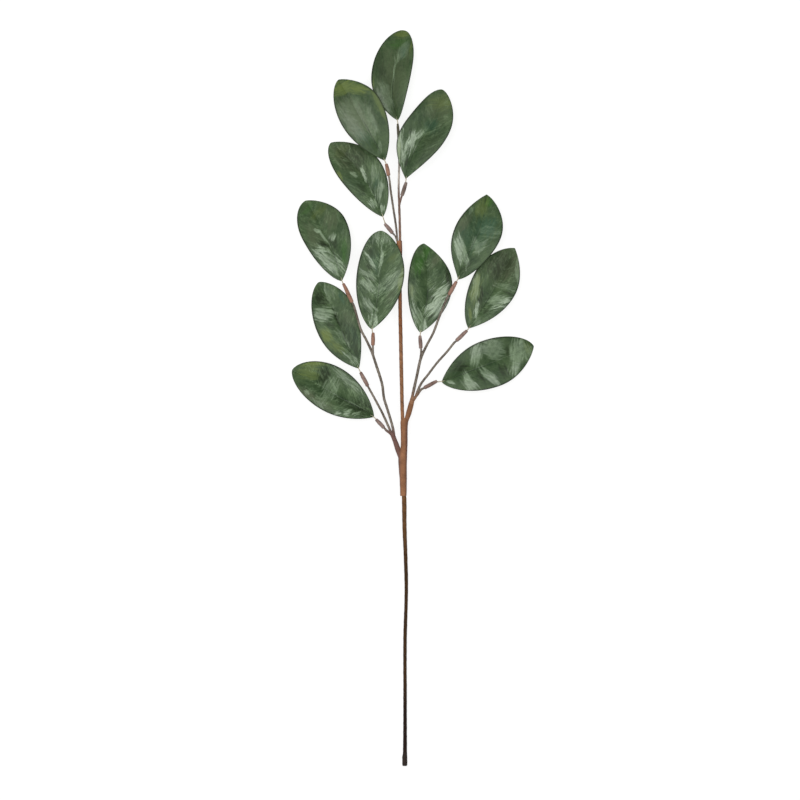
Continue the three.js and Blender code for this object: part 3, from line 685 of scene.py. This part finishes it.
# Stems, twigs and sleeves

TUBE_SIZES = [
    ("Geometry", GEOMETRY),
    *[(label, FLOAT) for label in ("Pitch", "Lip", "Lumps", "Lump Scale", "Seed", "Tone")],
]


def tube_tree(material, name):
    """Round tubes along the edges of a path, wound with tape whose turns leave a soft lip."""
    tree, size, leave = new_group(name, "GeometryNodeTree", TUBE_SIZES, [("Geometry", GEOMETRY)])
    path = chain(tree, size["Geometry"], "GeometryNodeMeshToCurve")
    along = out_of(tree, add_node(tree, "GeometryNodeSplineParameter"), "Length")
    core = split_xyz(position(tree))[2]
    path = keep_vector(tree, path, "along", join_xyz(tree, core, stored(tree, "flatness", "FLOAT"), along))
    ring = add_node(tree, "GeometryNodeCurvePrimitiveCircle", {"Resolution": STEM_SIDES, "Radius": 1})
    angle = out_of(tree, add_node(tree, "GeometryNodeSplineParameter"), "Factor") * (2 * math.pi)
    around = keep_vector(tree, out_of(tree, ring), "around", join_xyz(tree, cos(angle), sin(angle), angle))
    skin = chain(
        tree, path, "GeometryNodeCurveToMesh",
        {"Profile Curve": around, "Scale": stored(tree, "thickness", "FLOAT"), "Fill Caps": True})
    angle_x, angle_y, turn = split_xyz(stored(tree, "around", "FLOAT_VECTOR"))
    core, flatness, run = split_xyz(stored(tree, "along", "FLOAT_VECTOR"))
    spot = position(tree)
    flatter = (split_xyz(spot)[2] - core) * (flatness - 1)
    skin = chain(tree, skin, "GeometryNodeSetPosition", {"Offset": join_xyz(tree, 0, 0, flatter)})
    skin = keep_vector(tree, skin, "tone", join_xyz(tree, size["Tone"], 0, 0))
    skin = keep_vector(tree, skin, "turn", join_xyz(tree, angle_x, angle_y, run))
    winding = run / size["Pitch"] + turn / (2 * math.pi)
    winding = winding - winding.calc("FLOOR", winding)
    lip = bell((winding - 0.5) * LIP_SHARPNESS) * size["Lip"]
    x, y, z = split_xyz(spot)
    lump_spot = join_xyz(tree, x, y * LUMP_STRETCH, z + size["Seed"])
    lumps = noise(lump_spot, size["Lump Scale"]) * size["Lumps"]
    normal = add_node(tree, "GeometryNodeInputNormal")
    push = add_node(
        tree, "ShaderNodeVectorMath", {0: out_of(tree, normal), "Scale": lip + lumps}, operation="SCALE")
    skin = chain(tree, skin, "GeometryNodeSetPosition", {"Offset": out_of(tree, push)})
    close_tree(tree, leave, skin, material)
    return tree


def stem_height(y):
    share = min(max((y - CLIMB_START) / (CLIMB_END - CLIMB_START), 0), 1)
    return KNOB_RADIUS + STEM_CLIMB * share * share * (3 - 2 * share)


def stem_at(y):
    """The main stem's x, z and radius at y."""
    above = next(i for i, row in enumerate(MAIN_STEM) if row[1] >= y)
    (x0, y0, r0), (x1, y1, r1) = MAIN_STEM[above - 1:above + 1]
    share = (y - y0) / (y1 - y0)
    return x0 + (x1 - x0) * share, stem_height(y), r0 + (r1 - r0) * share


def beside_stem(y, degrees, radius):
    """A row of a tail that lies along the stem, at an angle round it (0 is to the right, 90 on top)."""
    x, z, stem_radius = stem_at(y)
    reach = stem_radius + radius + GAP
    angle = math.radians(degrees)
    return [x + reach * math.cos(angle), y, z + reach * math.sin(angle), radius]


def twig_to(name, rows):
    """A twig's rows, led straight into its leaf's sleeve."""
    start, end = [Vector(point) for point in LEAVES[name]["sleeve"]]
    along = (end - start).normalized()
    lead = [*(start - along * PEG_LEAD), rows[-1][3]]
    return [*rows, lead, [*start, PEG_RADIUS], [*(start + along * PEG_LENGTH), PEG_RADIUS]]


def smooth_path(rows):
    """Points along a smooth curve through rows of x, y, z, radius and flatness, about STEM_STEP apart."""
    rows = [[*row, 1][:5] for row in rows]
    points = [Vector(row[:3]) for row in rows]
    points = [2 * points[0] - points[1], *points, 2 * points[-1] - points[-2]]
    path = []
    for i in range(len(rows) - 1):
        p0, p1, p2, p3 = points[i:i + 4]
        d0, d1, d2 = [(b - a).length ** 0.5 for a, b in ((p0, p1), (p1, p2), (p2, p3))]
        leave = d1 * ((p1 - p0) / d0 - (p2 - p0) / (d0 + d1) + (p2 - p1) / d1)
        arrive = d1 * ((p2 - p1) / d1 - (p3 - p1) / (d1 + d2) + (p3 - p2) / d2)
        steps = max(2, round((p2 - p1).length / STEM_STEP))
        for step in range(steps + (i == len(rows) - 2)):
            s = step / steps
            point = (2 * s**3 - 3 * s**2 + 1) * p1 + (s**3 - 2 * s**2 + s) * leave
            point += (3 * s**2 - 2 * s**3) * p2 + (s**3 - s**2) * arrive
            path.append((*point, *[a + (b - a) * s for a, b in zip(rows[i][3:], rows[i + 1][3:])]))
    return path


def path_mesh(name, paths):
    """The tubes' middle lines, as edges with a thickness on each point."""
    mesh = bpy.data.meshes.new(name)
    points = [point for path in paths for point in path]
    edges = []
    first = 0
    for path in paths:
        edges += [(first + i, first + i + 1) for i in range(len(path) - 1)]
        first += len(path)
    mesh.from_pydata([in_frame(point[:3]) for point in points], edges, [])
    thickness = mesh.attributes.new("thickness", "FLOAT", "POINT")
    thickness.data.foreach_set("value", [point[3] * MM * ROUNDING for point in points])
    flatness = mesh.attributes.new("flatness", "FLOAT", "POINT")
    flatness.data.foreach_set("value", [point[4] for point in points])
    return mesh


def rows_of_stems():
    """The stems as tubes in rows of x, y, z and radius: a stalk first, then the twigs that fork from it."""
    left_stalk = [
        beside_stem(292, 210, 0.5), beside_stem(312, 210, 0.5), beside_stem(325, 205, 0.7),
        [-6.9, 334.5, 11.3, 2], [-9.6, 342.5, 12, 2.4], [-13.8, 353.5, 13, 2.3],
    ]
    right_stalk = [
        beside_stem(335, -60, 0.5), beside_stem(352, -45, 0.8), [1.6, 365.5, 12.4, 1.2],
        [4, 373.5, 13.4, 2], [6.8, 384, 14.6, 2.6], [9, 392, 15.3, 2.2],
    ]
    top_stalk = [
        beside_stem(541, 180, 0.5), beside_stem(550, 180, 0.5), [-8, 558, 19.4, 0.9], [-9, 569, 19.6, 1.1],
        [-12, 589.5, 20.4, 1.1], [-15, 609.5, 21.3, 1.05],
    ]
    return {
        "main_stem": [
            twig_to("top", [[x, y, stem_height(y), radius] for x, y, radius in MAIN_STEM]),
            twig_to("top_right", [[-6, 585, 19.2, 0.9], [-5.9, 592, 19.4, 1]]),
        ],
        "left_branch": [
            left_stalk,
            twig_to("left_outer", [
                [-10.5, 345.5, 12.4, 1.3], [-12.9, 359.5, 13.4, 1.3], [-18.5, 378.5, 14, 1.3],
                [-21.9, 389.5, 14.6, 1.3], [-24, 404.5, 15.5, 1.35], [-29.8, 423.5, 16.5, 1.35],
                [-35, 439, 17.2, 1.35], [-40.8, 451.5, 18, 1.25], [-46, 461.5, 18.5, 1.15],
            ]),
            twig_to("left_middle", [
                [-11.5, 348, 12.6, 1.2], [-15.8, 356.5, 13.3, 1.2], [-19.5, 365, 13.2, 1.2],
                [-25, 376.5, 13, 1.15], [-32.5, 390.5, 13, 1.1],
            ]),
            twig_to("left_low", [[-10, 344.5, 12, 1.3], [-14.8, 352, 12.2, 1.3]]),
            twig_to("left_inner", [[-33.4, 435.5, 17, 1.1]]),
        ],
        "right_branch": [
            right_stalk,
            twig_to("right_upper", [
                [6.5, 385.5, 14.8, 1.4], [9.6, 399, 15.9, 1.55], [12.9, 414, 17, 1.45],
                [17.1, 432.5, 18.2, 1.45], [23.1, 445.5, 19, 1.3], [30.4, 459.5, 19.8, 1.2],
                [35.4, 473, 20.2, 1.2],
            ]),
            twig_to("right_outer", [
                [6.5, 384, 14.6, 1.4], [11.3, 391, 14.9, 1.4], [13.6, 397.3, 14.6, 1.3],
                [17.4, 405.4, 14.2, 1.25], [24.4, 414.5, 14, 1.2], [34.6, 427.8, 13.8, 1.15],
                [45.3, 439.7, 13.8, 1.15],
            ]),
            twig_to("right_low", [[9, 388.5, 14.6, 1.2], [13, 393, 14, 1.2]]),
            twig_to("right_inner", [[16, 429, 18, 1.1]]),
        ],
        "top_twig": [
            twig_to("top_left", top_stalk),
            twig_to("top_low", [[-7.8, 554.5, 19.3, 0.8]]),
        ],
    }


def sleeve_rows(leaf):
    """A sleeve's rows, fullest at its middle and rounded at both ends."""
    start, end = [Vector(point) for point in leaf["sleeve"]]
    girth = leaf.get("girth", 1)
    profile = [
        (0, SLEEVE_MOUTH_RADIUS - SLEEVE_ROUNDED), (0.04, SLEEVE_MOUTH_RADIUS), (0.33, SLEEVE_RADIUS),
        (0.6, SLEEVE_RADIUS), (0.96, SLEEVE_TIP_RADIUS + 0.05), (1, SLEEVE_TIP_RADIUS - SLEEVE_ROUNDED),
    ]
    return [[*start.lerp(end, share), girth * radius] for share, radius in profile]


# Wraps, in rows of y, how far aside of and above the stem's middle, half-width and half-height

WRAPS = {
    "fork_wrap": [
        [286.5, -0.7, -0.3, 3.2, 2.9], [304, -0.3, -0.3, 3.7, 3], [325, -0.8, -0.4, 4.5, 3.2],
        [338, 0.7, -0.4, 3.4, 3.1], [352, 1.1, -0.5, 3.5, 3.2], [364, 1.5, -0.6, 3.8, 3.1],
        [369, 2, -0.8, 3.2, 2.6],
    ],
    "top_wrap": [[540, -0.6, 0, 2.8, 2.4], [548, -0.7, 0, 2.9, 2.4], [556, -0.8, 0, 2.9, 2.3]],
}


def collar_rows(stalk):
    """Tape round the foot of a stalk, running out to a thin edge."""
    tape = [GAP + TAPE] * (len(stalk) - 1) + [TAPE_EDGE_THICKNESS]
    return [[*row[:3], max(row[3], COLLAR_LEAST) + extra] for row, extra in zip(stalk, tape)]


def wrap_rows(rows):
    placed = []
    for y, aside, above, wide, high in rows:
        x, z, _ = stem_at(y)
        placed.append([x + aside, y, z + above, wide, high])
    return placed


# Finishing a piece

def cut_end():
    """The stem's cut end in the frame: the middle of its lowest ring, on the surface."""
    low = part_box("main_stem")[0][1]
    points = [vertex.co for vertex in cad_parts["main_stem"].data.vertices]
    ring = [point.x for point in points if point.y < low + CUT_RING * MM]
    return Vector(((min(ring) + max(ring)) / 2, low, 0))


CUT_END = cut_end()


def in_frame(point):
    return CUT_END + Vector(point) * MM


def grown(name, mesh, tree, sizes):
    """The plain mesh that a tree makes with these sizes, as an object."""
    carrier = bpy.data.objects.new(name, mesh)
    bpy.context.collection.objects.link(carrier)
    modifier = carrier.modifiers.new("grow", "NODES")
    modifier.node_group = tree
    sockets = {item.name: item.identifier for item in tree.interface.items_tree if item.in_out == "INPUT"}
    for label, value in sizes.items():
        modifier[sockets[label]] = value
    evaluated = carrier.evaluated_get(bpy.context.evaluated_depsgraph_get())
    finished = bpy.data.meshes.new_from_object(evaluated)
    carrier.modifiers.remove(modifier)
    carrier.data = finished
    return carrier


def settle(piece, node):
    """Hands a finished piece to the frame, in place of its node."""
    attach(piece, "root")
    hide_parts(node)


# Colours and shared effects

def srgb(red, green, blue):
    """A colour of 0 to 255 a channel, as the linear values that a material takes."""
    channels = [value / 255 for value in (red, green, blue)]
    linear = [c / 12.92 if c <= 0.04045 else ((c + 0.055) / 1.055) ** 2.4 for c in channels]
    return (*linear, 1)


LEAF_DARK = srgb(38, 58, 33)
LEAF_MID = srgb(80, 99, 66)
# Blue-green: partly the leaf's own colour and partly a painted bluish sheen
LEAF_COOL_AND_SHEEN = srgb(46, 76, 58)
LEAF_DUST_AND_SHEEN = srgb(78, 86, 64)
# Grey-olive: partly the leaf's own dull colour and partly a painted soft sheen
LEAF_GRASS = srgb(54, 92, 36)
LEAF_OLIVE = srgb(100, 114, 58)
LEAF_SHADE = srgb(28, 40, 20)
# Painted highlight: the pale sheen laid into the colour where the gloss marks lie
LEAF_PAINTED_SHEEN = srgb(152, 172, 142)
LEAF_RIB = srgb(140, 164, 126)
# Painted shade for the fold along the midrib and for the leaf's rim
LEAF_FOLD_AND_RIM_SHADE = srgb(24, 34, 22)
LEAF_BACK = srgb(122, 132, 92)
LEAF_BACK_DARK = srgb(98, 108, 72)
LEAF_STALK = srgb(172, 162, 140)

STEM_KNOB = srgb(40, 36, 34)
STEM_BLACK = srgb(18, 8, 8)
STEM_DARK = srgb(56, 37, 18)
STEM_BROWN = srgb(104, 72, 42)
STEM_TAN = srgb(140, 99, 70)
STEM_RUST = srgb(124, 78, 48)
STEM_TAUPE = srgb(134, 106, 90)
STEM_DUSK = srgb(112, 92, 84)
STEM_PALE = srgb(184, 176, 166)
STEM_GREEN = srgb(80, 76, 62)
STEM_BANDS = [
    (0, STEM_KNOB), (12, STEM_KNOB), (16, STEM_BLACK), (58, STEM_BLACK), (95, STEM_DARK),
    (210, STEM_DARK), (280, STEM_BROWN), (370, STEM_TAN), (440, STEM_TAN), (475, STEM_RUST),
    (560, STEM_TAUPE), (605, STEM_DUSK), (622, STEM_PALE), (670, STEM_GREEN),
]
STEM_EDGE = srgb(24, 18, 16)
STEM_FLECK = srgb(176, 140, 116)
TWIG_DARK = srgb(82, 74, 66)
TWIG_LIGHT = srgb(132, 123, 112)
TWIG_WARM = srgb(138, 100, 74)
TWIG_MAUVE = srgb(106, 80, 74)
TWIG_EDGE = srgb(40, 30, 26)
SLEEVE_DARK = srgb(97, 81, 76)
SLEEVE_LIGHT = srgb(148, 128, 121)
SLEEVE_GREEN = srgb(76, 78, 62)
SLEEVE_WARM = srgb(154, 106, 78)
SLEEVE_EDGE = srgb(56, 40, 34)
TAPE_DARK = srgb(114, 80, 57)
TAPE_LIGHT = srgb(150, 106, 77)
TAPE_MAUVE = srgb(106, 80, 72)
TAPE_SHADE = srgb(92, 66, 60)
TAPE_EDGE = srgb(74, 46, 32)
FLOOR_PALE = srgb(128, 128, 128)

# Where one colour gives way to another: along the stem, or aside from the cut end
TWIG_SIDES = (-4, 2)
LEFT_FEET = (350, 362)
RIGHT_FEET = (384, 402)
LEFT_COLLAR = (-7, -3)
SHADED_SIDE = (-0.5, 2.5)
FORK_TOP = (352, 374)
TOP_WRAP_START = (500, 520)
STEM_LEAN = 5
STEM_LEAN_RUN = (400, 540)


def tint(low, high, share):
    """One colour laid over another by a share."""
    tree = share.tree
    node = add_node(tree, "ShaderNodeMix", data_type="RGBA")
    sockets = {socket.identifier: socket for socket in node.inputs}
    feed(tree, sockets["Factor_Float"], share)
    feed(tree, sockets["A_Color"], low)
    feed(tree, sockets["B_Color"], high)
    color = next(socket for socket in node.outputs if socket.type == "RGBA")
    return Field(tree, color)


def mottle_group():
    """Broad and fine colour variation, each from 0 to 1."""
    tree, value, leave = new_group(
        "mottle", "ShaderNodeTree", [("Vector", VECTOR), ("Broad Scale", FLOAT), ("Fine Scale", FLOAT)],
        [("Broad", FLOAT), ("Fine", FLOAT)])
    feed(tree, leave.inputs["Broad"], ramp(noise(value["Vector"], value["Broad Scale"], 3.0), -0.2, 0.2))
    feed(tree, leave.inputs["Fine"], ramp(noise(value["Vector"], value["Fine Scale"], 4.0), -0.25, 0.25))
    return tree


def turns_group():
    """Where a winding of tape has its edge. Turn holds the cosine and sine round the stem and the run."""
    tree, value, leave = new_group(
        "tape turns", "ShaderNodeTree", [("Turn", VECTOR), ("Pitch", FLOAT)],
        [("Edge", FLOAT), ("Across", FLOAT)])
    x, y, run = split_xyz(value["Turn"])
    winding = run / value["Pitch"] + calc(tree, "ARCTAN2", y, x) / (2 * math.pi)
    across = winding - winding.calc("FLOOR", winding)
    feed(tree, leave.inputs["Edge"], bell((across - TURN_EDGE) * TURN_EDGE_SHARPNESS))
    feed(tree, leave.inputs["Across"], across)
    return tree


MOTTLE = mottle_group()
TURNS = turns_group()


def group_out(tree, group, inputs):
    """A shared effect, placed in a material with its own values."""
    node = add_node(tree, "ShaderNodeGroup", inputs, node_tree=group)
    return {socket.name: Field(tree, socket) for socket in node.outputs}


def new_material(name):
    material = bpy.data.materials.new(name)
    material.use_nodes = True
    tree = material.node_tree
    return material, tree, tree.nodes["Principled BSDF"]


def object_place(tree):
    return out_of(tree, add_node(tree, "ShaderNodeTexCoord"), "Object")


def attribute(tree, name):
    return out_of(tree, add_node(tree, "ShaderNodeAttribute", attribute_name=name), "Vector")


def bump(tree, height, distance, strength):
    inputs = {"Height": height, "Distance": distance * MM, "Strength": strength}
    return out_of(tree, add_node(tree, "ShaderNodeBump", inputs), "Normal")


def leaf_material():
    material, tree, shader = new_material("leathery leaf")
    t, v, on_face = split_xyz(attribute(tree, "leaf_place"))
    gloss, olive, grass = split_xyz(attribute(tree, "leaf_marks"))
    shade, cool, dust = split_xyz(attribute(tree, "leaf_tints"))
    flow, phase, pale_rib = split_xyz(attribute(tree, "leaf_flow"))
    vein, strand, torn = split_xyz(attribute(tree, "leaf_veins"))
    spot = object_place(tree)
    mottle = group_out(tree, MOTTLE, {"Vector": spot, "Broad Scale": 60, "Fine Scale": 300})
    out = abs(v)
    hair = feathering(flow, v, phase, HAIRS, HAIR_BREADTH)

    fresh = 0.4 * mottle["Broad"] + 0.3 * mottle["Fine"] + 0.5 * torn * hair * mottle["Broad"]
    # Pale lines: printed veins and strands, and from the hairs fine painted sheen streaks
    lines = torn * (0.15 * strand + 0.08 * vein) + 0.32 * torn ** 6 * hair
    face = tint(LEAF_DARK, LEAF_MID, fresh)
    # The grey-olive and blue-green tints are partly the leaf's own colour and partly a painted soft sheen
    for color, share in (
            (LEAF_COOL_AND_SHEEN, 0.8 * cool), (LEAF_DUST_AND_SHEEN, 0.9 * dust), (LEAF_GRASS, 0.8 * grass),
            (LEAF_OLIVE, 0.8 * olive), (LEAF_SHADE, shade), (LEAF_RIB, lines)):
        face = tint(face, color, share)
    # Painted highlight: the gloss marks lay a pale sheen into the colour, and raise the coat below for real
    # gloss
    shine = gloss * (0.6 + 0.3 * mottle["Fine"] + 0.3 * hair)
    face = tint(face, LEAF_PAINTED_SHEEN, 0.7 * shine)
    rib_line = 1 - ramp(abs(v + 0.025), 0.01, 0.04)
    rib_run = ramp(t, 0.1, 0.3) * (1 - ramp(t, 0.5, 0.9)) * (0.5 + 0.5 * mottle["Broad"])
    face = tint(face, LEAF_RIB, 0.8 * rib_line * pale_rib * rib_run)
    # Painted shade: a dark line in the fold along the midrib near the base, and a dark rim along the margin
    fold_shadow = (1 - ramp(abs(v - 0.015), 0.008, 0.045)) * (1 - ramp(t, 0.3, 0.7))
    face = tint(face, LEAF_FOLD_AND_RIM_SHADE, 0.5 * fold_shadow + 0.85 * ramp(out, 0.9, 0.98))
    face = tint(face, LEAF_STALK, 1 - ramp(t, -0.05, 0.02))
    back = tint(LEAF_BACK_DARK, LEAF_BACK, 0.6 * mottle["Broad"] + 0.4 * mottle["Fine"])
    back = tint(back, LEAF_RIB, (1 - ramp(out, 0.02, 0.09)) * 0.6 + 0.25 * vein)
    feed(tree, shader.inputs["Base Color"], tint(back, face, on_face))
    feed(tree, shader.inputs["Roughness"], blend(0.62, 0.45 + 0.1 * mottle["Fine"], on_face))
    shader.inputs["Specular IOR Level"].default_value = 0.1
    feed(tree, shader.inputs["Coat Weight"], on_face * (0.05 + 0.6 * shine))
    shader.inputs["Coat Roughness"].default_value = 0.2
    shader.inputs["Coat IOR"].default_value = 1.6

    cells = add_node(
        tree, "ShaderNodeTexVoronoi", {"Vector": spot, "Scale": 900}, feature="DISTANCE_TO_EDGE")
    net = ramp(out_of(tree, cells, "Distance"), 0, 0.12)
    feed(tree, shader.inputs["Normal"], bump(tree, 0.3 * net + 0.5 * mottle["Fine"] + hair, 0.06, 0.35))
    return material


def stem_bands(tree, y):
    """The stem's colours along its length."""
    node = add_node(tree, "ShaderNodeValToRGB")
    end = STEM_BANDS[-1][0]
    feed(tree, node.inputs["Fac"], (y - CUT_END.y) / (end * MM))
    bands = node.color_ramp.elements
    bands[0].position, bands[0].color = 0, STEM_BANDS[0][1]
    bands[1].position, bands[1].color = 1, STEM_BANDS[-1][1]
    for place, color in STEM_BANDS[1:-1]:
        bands.new(place / end).color = color
    return out_of(tree, node, "Color")


def fade(field, span):
    """0 before a span in millimetres and 1 after it, smooth between them."""
    return ramp(field, span[0] * MM, span[1] * MM)


WOUND_SPECULAR = 0.05


def wound_material(name, pitch, scales, roughness, lip, relief, paint):
    """A surface wound with tape. Paint gives its colour from the spot, the mottle and the turns."""
    material, tree, shader = new_material(name)
    spot = object_place(tree)
    broad, fine = scales
    mottle = group_out(tree, MOTTLE, {"Vector": spot, "Broad Scale": broad, "Fine Scale": fine})
    turns = group_out(tree, TURNS, {"Turn": attribute(tree, "turn"), "Pitch": pitch * MM})
    depth, strength = relief
    feed(tree, shader.inputs["Base Color"], paint(spot, mottle, turns))
    feed(tree, shader.inputs["Roughness"], roughness + 0.2 * mottle["Fine"])
    feed(tree, shader.inputs["Normal"], bump(tree, mottle["Fine"] + lip * turns["Across"], depth, strength))
    shader.inputs["Specular IOR Level"].default_value = WOUND_SPECULAR
    return material


def stem_color(spot, mottle, turns):
    color = stem_bands(spot.tree, split_xyz(spot)[1])
    color = tint(color, STEM_EDGE, 0.3 * mottle["Broad"] + 0.35 * turns["Edge"])
    return tint(color, STEM_FLECK, 0.05 * mottle["Fine"])


def twig_color(spot, mottle, turns):
    """Grey, with the feet of the left branch mauve and those of the right branch warm."""
    x, y, _ = split_xyz(spot)
    run = y - CUT_END.y
    on_right = fade(x - CUT_END.x, TWIG_SIDES)
    color = tint(TWIG_DARK, TWIG_LIGHT, 0.7 * mottle["Broad"] + 0.3 * mottle["Fine"])
    color = tint(color, TWIG_MAUVE, (1 - on_right) * (1 - fade(run, LEFT_FEET)))
    color = tint(color, TWIG_WARM, on_right * (1 - fade(run, RIGHT_FEET)))
    return tint(color, TWIG_EDGE, 0.4 * turns["Edge"])


def sleeve_color(spot, mottle, turns):
    color = tint(SLEEVE_DARK, SLEEVE_LIGHT, 0.75 * mottle["Broad"] + 0.25 * mottle["Fine"])
    tone = split_xyz(attribute(spot.tree, "tone"))[0]
    color = tint(color, SLEEVE_WARM, tone)
    color = tint(color, SLEEVE_GREEN, -tone)
    return tint(color, SLEEVE_EDGE, 0.35 * turns["Edge"])


def tape_color(spot, mottle, turns):
    """Brown, mauve on the left collar and darker along the stem's right side."""
    x, y, _ = split_xyz(spot)
    run = y - CUT_END.y
    aside = x - CUT_END.x + STEM_LEAN * MM * fade(run, STEM_LEAN_RUN)
    on_stem = 1 - fade(run, FORK_TOP) + fade(run, TOP_WRAP_START)
    color = tint(TAPE_DARK, TAPE_LIGHT, 0.7 * mottle["Broad"] + 0.3 * mottle["Fine"])
    color = tint(color, TAPE_MAUVE, 1 - fade(aside, LEFT_COLLAR))
    color = tint(color, TAPE_SHADE, 0.85 * on_stem * fade(aside, SHADED_SIDE))
    return tint(color, TAPE_EDGE, 0.15 * turns["Edge"])


# Building the branch

def make_leaves():
    tree = leaf_tree(leaf_material())
    for phase, (name, leaf) in enumerate(LEAVES.items()):
        blank = bpy.data.meshes.new(f"leaf_{name}_blank")
        piece = grown(f"leaf_{name}_blade", blank, tree, leaf_sizes(leaf, phase))
        settle(piece, f"leaf_{name}")


def make_stems():
    stem_finish = wound_material(
        "wrapped stem", STEM_PITCH, scales=(150, 900), roughness=0.62, lip=0.5, relief=(0.15, 0.5),
        paint=stem_color)
    twig_finish = wound_material(
        "wrapped twig", TWIG_PITCH, scales=(120, 1100), roughness=0.6, lip=0.5, relief=(0.12, 0.5),
        paint=twig_color)
    stem = tube_tree(stem_finish, "wrapped stem")
    twig = tube_tree(twig_finish, "wrapped twig")
    for node, tubes in rows_of_stems().items():
        on_stem = node == "main_stem"
        sizes = {
            "Pitch": (STEM_PITCH if on_stem else TWIG_PITCH) * MM, "Lip": 0.1 * MM, "Lumps": 0.35 * MM,
            "Lump Scale": 160.0, "Seed": len(node) * 0.1,
        }
        paths = path_mesh(f"{node}_path", [smooth_path(rows) for rows in tubes])
        piece = grown(f"{node}_skin", paths, stem if on_stem else twig, sizes)
        settle(piece, node)


def make_sleeves():
    finish = wound_material(
        "rolled sleeve", SLEEVE_PITCH, scales=(90, 1300), roughness=0.55, lip=0.6, relief=(0.12, 0.5),
        paint=sleeve_color)
    tree = tube_tree(finish, "rolled sleeve")
    for seed, (name, leaf) in enumerate(LEAVES.items()):
        sizes = {
            "Pitch": SLEEVE_PITCH * MM, "Lip": 0.12 * MM, "Lumps": 0.3 * MM, "Lump Scale": 240.0,
            "Seed": seed * 0.37, "Tone": float(leaf["tone"]),
        }
        paths = path_mesh(f"sleeve_{name}_path", [smooth_path(sleeve_rows(leaf))])
        piece = grown(f"sleeve_{name}_skin", paths, tree, sizes)
        settle(piece, f"sleeve_{name}")


def make_wraps():
    finish = wound_material(
        "stem tape", WRAP_PITCH, scales=(70, 1000), roughness=0.66, lip=0.6, relief=(0.14, 0.55),
        paint=tape_color)
    tree = tube_tree(finish, "wound tape")
    stems = rows_of_stems()
    collars = {"fork_wrap": [stems["left_branch"][0][2:5], stems["right_branch"][0][1:5]], "top_wrap": []}
    sizes = {
        "Pitch": WRAP_PITCH * MM, "Lip": 0.08 * MM, "Lumps": 0.4 * MM, "Lump Scale": 140.0, "Seed": 2.0,
    }
    for node, rows in WRAPS.items():
        tubes = [[[x, y, z, wide, high / wide] for x, y, z, wide, high in wrap_rows(rows)]]
        tubes += [collar_rows(collar) for collar in collars[node]]
        paths = path_mesh(f"{node}_path", [smooth_path(tube) for tube in tubes])
        piece = grown(f"{node}_skin", paths, tree, sizes)
        settle(piece, node)


# Stage: a pale floor, soft light from overhead and from the left, and a camera that looks straight down

PICTURE = 800
CUT_END_PIXEL = (404.8, 766.5)
MM_PER_PIXEL = 780 / 737
LENS = 150
SENSOR = 36
LEAF_LEVEL = 10
FLOOR_SIZE = 40
FLOOR_DROP = 0.2
WHITE = (1, 1, 1, 1)


def make_floor():
    bpy.ops.mesh.primitive_plane_add(size=FLOOR_SIZE, location=(0, 0, -FLOOR_DROP * MM))
    floor = bpy.context.object
    floor.name = "floor"
    material, _, shader = new_material("pale floor")
    shader.inputs["Base Color"].default_value = FLOOR_PALE
    shader.inputs["Roughness"].default_value = 0.7
    shader.inputs["Specular IOR Level"].default_value = 0.1
    shader.inputs["Emission Color"].default_value = WHITE
    shader.inputs["Emission Strength"].default_value = 0.8
    floor.data.materials.append(material)


def soft_box(name, place, size, power):
    light = bpy.data.lights.new(name, "AREA")
    light.shape = "RECTANGLE"
    light.size, light.size_y = size
    light.energy = power
    holder = bpy.data.objects.new(name, light)
    bpy.context.collection.objects.link(holder)
    holder.location = place
    holder.rotation_euler = (-Vector(place)).to_track_quat("-Z", "Y").to_euler()
    holder.visible_camera = False


def make_lights():
    world = bpy.data.worlds.new("studio")
    bpy.context.scene.world = world
    world.use_nodes = True
    background = world.node_tree.nodes["Background"]
    background.inputs["Color"].default_value = WHITE
    background.inputs["Strength"].default_value = 0.15
    soft_box("overhead box", place=(0, 0.18, 3.8), size=(3.4, 3.4), power=165)
    soft_box("left box", place=(-1.6, 0.2, 1.3), size=(1.2, 1.4), power=12)


def make_camera():
    camera = bpy.data.cameras.new("camera")
    camera.lens = LENS
    camera.sensor_width = SENSOR
    holder = bpy.data.objects.new("camera", camera)
    bpy.context.collection.objects.link(holder)
    middle = PICTURE / 2
    aside = (middle - CUT_END_PIXEL[0]) * MM_PER_PIXEL
    along = (CUT_END_PIXEL[1] - middle) * MM_PER_PIXEL
    distance = PICTURE * MM_PER_PIXEL * LENS / SENSOR
    holder.location = in_frame((aside, along, LEAF_LEVEL + distance))
    bpy.context.scene.camera = holder
    bpy.context.scene.view_settings.view_transform = "Standard"


make_camera()
make_leaves()
make_stems()
make_sleeves()
make_wraps()
make_floor()
make_lights()
